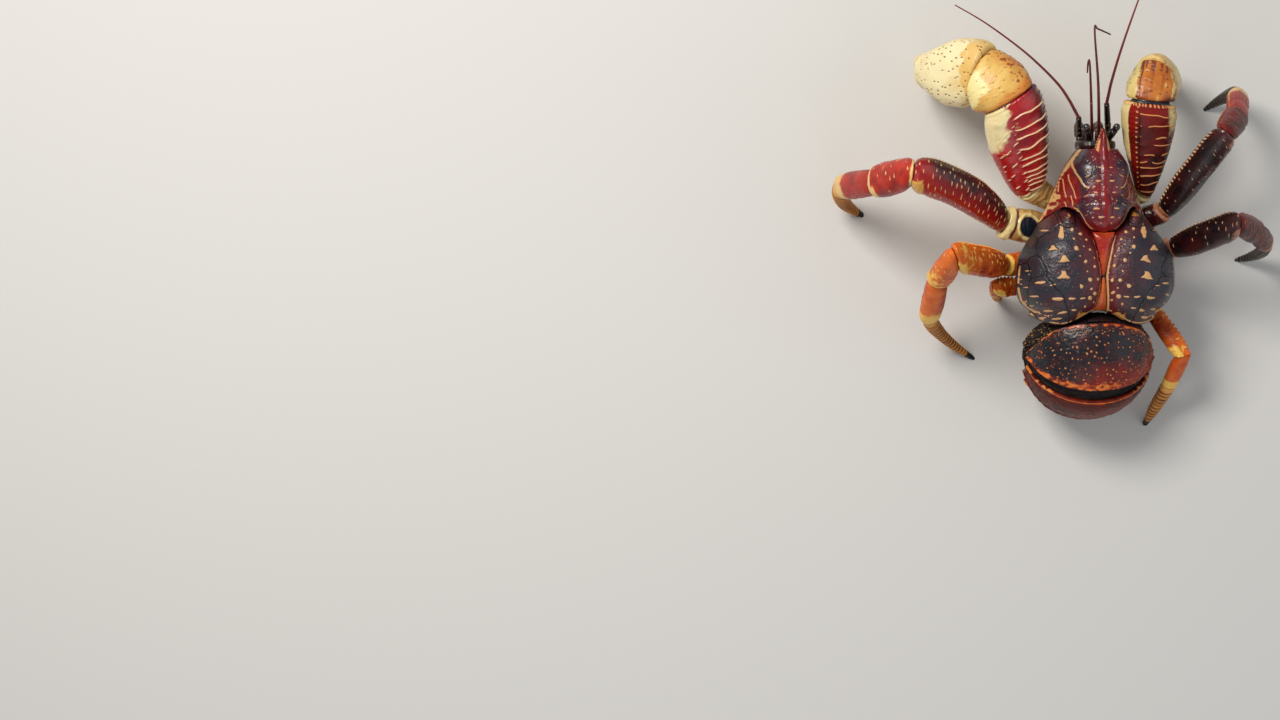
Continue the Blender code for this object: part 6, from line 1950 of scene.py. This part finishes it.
# %% Thin rear legs
SMALL_LEGS = {
    "leg3_left": {
        "joints": [(23, 37, 42), (46, 37.5, 46), (65, 37, 60), (61, 40, 34), (52, 47, FLOOR)],
        "broad_axes": [(0, -1, 0.3), (0, -1, 0.2), (0, -1, 0), (0, -1, 0)],
    },
    "leg3_right": {
        "joints": [(-22, 41, 42), (-47, 56, 47), (-65.5, 85, 57), (-61, 107, 34), (-52.7, 136, FLOOR)],
        "broad_axes": [(-0.7, -0.7, 0), (-1, -0.5, 0), (-1, 0, 0), (-1, 0, 0)],
    },
}
SMALL_SIZES = [(12, 10), (13, 11), (11.5, 10), (10, 8)]
UPPER_SHARES = [(0.0, 0.7), (0.3, 1.0), (0.5, 0.9), (0.75, 1.0), (1.0, 0.75)]
LOWER_SHARES = [(0.0, 0.8), (0.2, 1.0), (0.5, 0.9), (0.75, 0.8), (1.0, 0.3)]


def bent_profile(shares, first, second, half):
    """The sizes on one half of a bent piece, which keeps one run of shares over both halves."""
    low, high = (0.0, 0.5) if half == 0 else (0.5, 1.0)
    keys = []
    for t in np.linspace(0, 1, 9):
        place = low + (high - low) * t
        share = float(curve_through(shares, place))
        sizes = [share * (near * (1 - place) + far * place) for near, far in zip(first, second)]
        keys.append((float(t), *sizes))
    return keys


def make_small_leg(name, leg, seed):
    joints, planes = leg["joints"], joint_planes(leg["joints"])
    for first, shares, ends in (("upper", UPPER_SHARES, (0, 1)), ("lower", LOWER_SHARES, (2, 3))):
        for half, index in enumerate(ends):
            last = index == 3
            sizes = bent_profile(shares, SMALL_SIZES[ends[0]], SMALL_SIZES[ends[1]], half)
            limb = Limb(joints[index], joints[index + 1], planes[index], planes[index + 1], sizes,
                        leg["broad_axes"][index], 90, 64,
                        gaps=(0.0 if index == 0 else JOINT_GAP, 0.0 if last else JOINT_GAP),
                        tuck=(0.0 if index == 0 else 1.2, 0.0 if last else 1.2))
            finish = "dactyl_tan" if last else "leg_orange"
            if last:
                dress_dactyl(limb, seed + index)
            elif index == 2:
                dress_propodus(limb, seed + index)
            else:
                dress_merus(limb, seed + index, finish)
            limb.finish(f"{name}_{first}_{half}", finish, [f"{name}_{first}"])
    for index in (1, 2, 3):
        size = SMALL_SIZES[index]
        joint_skin(f"{name}_joint_{index}", joints[index], planes[index], leg["broad_axes"][index],
                   size[0] * 0.8, size[1] * 0.8, slot_of[f"{name}_upper"], reach=2.0)


for number, (leg_name, leg) in enumerate(SMALL_LEGS.items()):
    make_small_leg(leg_name, leg, 860 + 20 * number)
print("with thin legs", len(piece_report))

# %% [markdown]
# ## The underside and the face
#
# Both start as a copy of their plain solid, since their outline is already right. The copy is
# remeshed into an even skin, and then carved: the underside gets plates with grooves between
# them over each pair of legs, and the face gets a rim and rough granules.

# %% Underside and face
def copy_of(node, name):
    """A copy of a plain solid, with its loose triangles merged, at the world's origin."""
    source = frame["nodes"][node]
    mesh = source.data.copy()
    mesh.transform(source.matrix_world)
    shaper = bmesh.new()
    shaper.from_mesh(mesh)
    bmesh.ops.remove_doubles(shaper, verts=shaper.verts, dist=1e-5)
    bmesh.ops.recalc_face_normals(shaper, faces=shaper.faces)
    shaper.to_mesh(mesh)
    shaper.free()
    mesh.materials.clear()
    made = bpy.data.objects.new(name, mesh)
    bpy.context.scene.collection.objects.link(made)
    return made


THORAX_VOXEL, FACE_VOXEL = 0.9, 0.35
STERNUM_GROOVES = [-40.0, -26.0, -12.0, 4.0, 20.0, 36.0]


def carve_thorax(points, normals):
    x, y, z = points.T
    below = ease(-normals[:, 2], 0.1, 0.6)
    side = ease(np.abs(normals[:, 0]), 0.3, 0.8)
    groove = np.zeros_like(x)
    bowed = y - 4.0 * (np.abs(x) / 20.0) ** 2
    for place in STERNUM_GROOVES:
        groove = np.maximum(groove, bell(bowed, place, 0.9))
    middle = bell(x, 0.0, 1.0)
    both = np.maximum(groove * ease(np.abs(x), 1.0, 4.0), middle)
    distance, number = cells(x, y, 3.2, 901)[:2]
    lumps = round_bump(distance, 0.8) * (number > 0.5)
    height = (-0.7 * both * below + 0.3 * np.sqrt(lumps) * np.maximum(below, side)
              + 0.25 * grain_noise(points, 4.0, 902))
    masks = {"tone": 0.45 + 0.35 * below + 0.3 * grain_noise(points, 9.0, 903), "pit": 0.8 * both * below,
             "mark": 0.6 * lumps * below, "pale": 0.35 * below * ease(np.abs(x), 4.0, 14.0)}
    return np.minimum(height, 0.1) * ease(60.0 - z, 0.6, 2.0), masks


def carve_face(points, normals):
    x, _, z = points.T
    front = ease(-normals[:, 1], 0.4, 0.9)
    distance, number = cells(x, z, 1.9, 911)[:2]
    lumps = round_bump(distance, 0.6) * (number > 0.4)
    ridge = bell(np.abs(x), 8.4, 0.6) + bell(z, 66.5, 0.6)
    height = (0.25 * np.sqrt(lumps) - 0.25 + 0.25 * clamp(ridge)) * front
    masks = {"tone": 0.3 + 0.4 * grain_noise(points, 4.0, 912), "mark": 0.6 * lumps * front,
             "pit": 0.5 * bell(np.abs(x), 0.0, 0.8) * front}
    return height, masks


underside = remesh(copy_of("thorax", "underside"), THORAX_VOXEL, 3)
sculpt(underside, "underside", carve_thorax, "thorax", ["thorax"])
face_shell = remesh(copy_of("face", "face_shell"), FACE_VOXEL, 2)
sculpt(face_shell, "face_shell", carve_face, "face", ["face"])
print(piece_report[-2:])

# %% [markdown]
# ## Rostrum
#
# The shield's front ends in a long narrow spike between the eyes, with a ridge down its middle
# and cream side edges.

# %% Rostrum
ROSTRUM = [(47.0, 7.5, 91.0, 101.5), (57.0, 5.0, 91.5, 101.5), (61.0, 3.9, 92.5, 101.5),
           (66.0, 2.2, 94.5, 101.0), (70.0, 0.6, 97.5, 99.0)]


def make_rostrum():
    rows, columns = 110, 72
    y = np.linspace(-47.5, -69.9, rows)[:, None] + np.zeros((1, columns))
    angle = (2 * np.pi * np.arange(columns) / columns)[None, :] + 0 * y
    back = -y
    half, low, high = (curve_through(column(ROSTRUM, index), back) for index in (1, 2, 3))
    high = high + 2.0 * fall(back, 48.0, 57.0)
    across = signed_power(np.sin(angle), 0.8) * half
    middle, reach = (low + high) / 2, (high - low) / 2
    upward = np.cos(angle)
    roof = 1 - np.abs(across / np.maximum(half, 0.1))
    z = middle + np.where(upward > 0, reach * roof ** 0.8, -reach * np.abs(upward) ** 0.7)
    masks = blank(y)
    edge = bell(np.abs(across), half, 0.8)
    crest = bell(across, 0.0, 0.8) * (upward > 0)
    teeth = 0.5 + 0.5 * wave(y, 1.9)
    share = np.abs(across) / np.maximum(half, 0.1)
    band = bell(share, 0.72, 0.2) * ease(y, -66.0, -60.0) * ease(-y, 51.0, 56.0) * (upward > -0.2)
    notch = bell(across, 0.0, 0.45) * ease(-y, 52.0, 57.0) * (upward > 0)
    masks["mark"] = clamp(np.maximum(0.6 * edge * (0.5 + 0.5 * teeth), 0.85 * band))
    masks["tone"] = clamp(0.9 + 0.1 * crest)
    masks["pit"] = 0.55 * notch
    points = np.stack((across * (1 + 0.03 * teeth * edge), y, z + 0.2 * band * teeth - 0.35 * notch), -1)
    faces = tube_faces(rows, columns)
    return add_piece("rostrum", points, faces, masks, "shield", ["carapace_shield"])


make_rostrum()
print(piece_report[-1])

# %% [markdown]
# ## Eyes and eye stalks
#
# The eyes are small black beads, facetted so finely that they only glitter. Each sits on a
# dark stalk with a pale ring where the stalk meets the eye.

# %% Eye material
def eye_material():
    material = bpy.data.materials.new("black_eye")
    material.use_nodes = True
    tree = material.node_tree
    shader = tree.nodes["Principled BSDF"]
    shader.inputs["Roughness"].default_value = 0.12
    shader.inputs["Coat Weight"].default_value = 1.0
    shader.inputs["Coat Roughness"].default_value = 0.03
    shader.inputs["Specular IOR Level"].default_value = 0.7
    place = tree.nodes.new("ShaderNodeTexCoord").outputs["Object"]
    facets = add_node(tree, "ShaderNodeTexVoronoi", inputs={"Scale": 4200.0})
    tree.links.new(place, facets.inputs["Vector"])
    colour = mix_colours(tree, facets.outputs["Distance"], paint("120C12"), paint("060406"))
    tree.links.new(colour, shader.inputs["Base Color"])
    relief = add_node(tree, "ShaderNodeBump", inputs={"Strength": 0.25, "Distance": 0.00008})
    tree.links.new(facets.outputs["Distance"], relief.inputs["Height"])
    tree.links.new(relief.outputs["Normal"], shader.inputs["Normal"])
    return material


FINISH["eye"] = eye_material()


# %% Tubes along a route
def smooth_route(route, steps):
    """A smooth line through listed places: straight first, then a Catmull-Rom curve."""
    places = [np.array(place, float) for place in route]
    line = [places[0]]
    for index in range(1, len(places)):
        before = places[max(index - 2, 0)]
        start, end = places[index - 1], places[index]
        after = places[min(index + 1, len(places) - 1)]
        for step in range(1, steps + 1):
            t = step / steps
            if index == 1:
                line.append(start + (end - start) * t)
                continue
            square = (2 * before - 5 * start + 4 * end - after) * t * t
            cube = (3 * start - before - 3 * end + after) * t ** 3
            line.append(0.5 * (2 * start + (end - before) * t + square + cube))
    return np.array(line)


def even_route(route, count, steps=24):
    line = smooth_route(route, steps)
    length = np.concatenate(([0.0], np.cumsum(np.linalg.norm(np.diff(line, axis=0), axis=1))))
    places = np.linspace(0, length[-1], count)
    return np.stack([np.interp(places, length, line[:, axis]) for axis in range(3)], -1), length[-1]


def route_tube(name, route, radius, columns, rows, pattern, finish, nodes, flat=1.0):
    """A round tube along a route. Pattern gives its radius share and masks along and round it."""
    line, length = even_route(route, rows)
    ways = np.gradient(line, axis=0)
    ways /= np.linalg.norm(ways, axis=1, keepdims=True)
    side = np.cross(ways[0], (0, 0, 1.0))
    side = side / np.linalg.norm(side) if np.linalg.norm(side) > 0.1 else np.array([1.0, 0, 0])
    sides, ups = [], []
    for way in ways:
        side = unit(side - np.dot(side, way) * way)
        sides.append(side)
        ups.append(np.cross(way, side))
    sides, ups = np.array(sides), np.array(ups)
    angle = (2 * np.pi * np.arange(columns) / columns)[None, :] + np.zeros((rows, 1))
    place = np.linspace(0, 1, rows)[:, None] + 0 * angle
    share, masks = pattern(place, angle, place * length)
    reach = (radius * share)[..., None]
    points = (line[:, None, :] + sides[:, None, :] * np.sin(angle)[..., None] * reach
              + ups[:, None, :] * np.cos(angle)[..., None] * reach * flat)
    faces = tube_faces(rows, columns)
    full = blank(points)
    full.update(masks)
    return add_piece(name, points, faces, full, finish, nodes)


# %% Eyes
EYE_RADIUS = 2.3


def make_eye(side, sign):
    root = np.array([sign * 6.0, -62.0, 82.5])
    neck = np.array([sign * 9.2, -68.3, 91.0])
    tip = np.array([sign * 11.1, -72.3, 95.2])

    def stalk_pattern(place, angle, along):
        ring = bell(place, 0.93, 0.05)
        grains = clamp(np.cos(angle * 7 + along * 2.4)) ** 4
        share = 0.92 + 0.14 * place - 0.10 * ring + 0.05 * grains
        return share, {"tone": 0.3 + 0.4 * grains * (1 - place),
                       "mark": 0.35 * ring + 0.5 * grains * (place < 0.4)}

    route_tube(f"eye_stalk_{side}_shell", [root, (root + neck) / 2 + (0, 0, 0.3), neck], EYE_RADIUS, 48, 70,
               stalk_pattern, "stalk", [f"eye_stalk_{side}"])

    def eye_pattern(place, angle, along):
        share = np.sqrt(clamp(1 - (2 * place - 1) ** 2)) ** 0.72
        return np.maximum(share, 0.05) * 1.06, {}

    way = unit(tip - neck)
    route_tube(f"eye_{side}_bead", [neck + way * 0.15, (neck + tip) / 2, tip], EYE_RADIUS, 48, 60,
               eye_pattern, "eye", [f"eye_{side}"])


for side, sign in (("left", 1), ("right", -1)):
    make_eye(side, sign)
print(piece_report[-4:])

# %% [markdown]
# ## Feelers and mouth limbs
#
# The long antennae have a grooved base and a whip of fine rings. The antennules between them
# end in a short, bent club. The mouth limbs hang down before the face.

# %% Feelers
ROUTES = {
    "antenna_peduncle_left": ([(10, -62.3, 70), (10, -64.5, 70), (11, -68.5, 73.5), (14.2, -77, 87)], 2.4,
                              0.75),
    "antenna_peduncle_right": ([(-10, -62.3, 70), (-10, -64.5, 70), (-9, -69.5, 73.5), (-4.5, -86.3, 89)],
                               2.4, 0.75),
    "antenna_flagellum_left": ([(14.3, -77.3, 87.4), (22, -87.5, 96.5), (33.6, -100.4, 106),
                                (56.9, -118.9, 120), (84.9, -137.4, 130), (106.5, -149.7, 132)], 1.1, 0.35),
    "antenna_flagellum_right": ([(-4.4, -86.7, 89.3), (-4.3, -93, 96), (-4.6, -101.7, 104),
                                 (-7.6, -122.1, 119), (-15.5, -151.5, 131),
                                (-26.9, -182.4, 134)], 1.1, 0.35),
    "antennule_left": ([(2.3, -62.3, 74.5), (2.3, -64, 74.5), (5.5, -74, 88), (11, -94, 110),
                        (15.9, -112.1, 128), (16.3, -112, 125), (15.2, -106, 118)], 1.2, 0.45),
    "antennule_right": ([(-2.3, -62.3, 75.5), (-2.3, -64, 75.5), (1, -74, 90), (7.5, -100, 116),
                         (14.8, -132.9, 138), (12, -133.5, 136), (2, -130.5, 128)], 1.2, 0.45),
    "maxilliped_left": ([(5, -62.3, 64), (5, -65, 64), (6.8, -73, 57), (6.2, -73, 46), (4.6, -67, 37)],
                        3.2, 0.5),
    "maxilliped_right": ([(-5, -62.3, 64), (-5, -65, 64), (-6.8, -73, 57), (-6.2, -73, 46),
                          (-4.6, -67, 37)], 3.2, 0.5),
}


def jointed(places, depth=0.16, width=0.9):
    """A radius pattern with a groove at each listed place, in millimetres along."""
    def pattern(place, angle, along):
        groove = np.zeros_like(along)
        for joint in places:
            groove = np.maximum(groove, bell(along, joint, width))
        before = np.zeros_like(along)
        for joint in places:
            before = np.maximum(before, bell(along - joint, -1.6, 0.8))
        grains = clamp(np.cos(angle * 6) * wave(along, 1.8)) ** 2
        masks = {"tone": 0.35 + 0.5 * before, "mark": 0.8 * before * ease(grains, 0.0, 0.5) + 0.35 * grains,
                 "pit": 0.9 * groove, "pale": 0.3 * before}
        return 1 - depth * groove + 0.07 * before + 0.05 * grains, masks
    return pattern


def whip_rings(place, angle, along):
    phase = along / 1.15 % 1
    ring = ease(phase, 0.0, 0.55) * fall(phase, 0.75, 1.0)
    masks = {"tone": 0.35 + 0.35 * ring + 0.3 * place, "pit": 0.45 * (1 - ring),
             "mark": 0.25 * ring * (place < 0.15)}
    return 0.9 + 0.16 * ring, masks


def tapered(pattern, taper):
    def inner(place, angle, along):
        share, masks = pattern(place, angle, along)
        return share * (1 - (1 - taper) * place), masks
    return inner


for side in ("left", "right"):
    club_joints = [10.0, 40.0] if side == "left" else [11.0, 48.0]
    for piece, node, columns, rows, pattern, finish in (
            ("antenna_base_{}", "antenna_peduncle_{}", 48, 120, jointed([4.0, 10.0, 15.5]), "stalk"),
            ("antenna_whip_{}", "antenna_flagellum_{}", 16, 620, whip_rings, "feeler"),
            ("antennule_{}_shell", "antennule_{}", 20, 340, jointed(club_joints, 0.12, 0.6), "feeler"),
            ("mouth_limb_{}", "maxilliped_{}", 56, 170, jointed([9.0, 20.0, 28.0], 0.2, 1.0), "leg_dark")):
        node = node.format(side)
        route, radius, taper = ROUTES[node]
        route_tube(piece.format(side), route, radius, columns, rows, tapered(pattern, taper), finish, [node])
print("with feelers", len(piece_report))

# %% Print the solids' box and the pieces
print("solids", cad_box)
print(len(piece_report), "pieces,", sum(count for _, count in piece_report), "triangles")
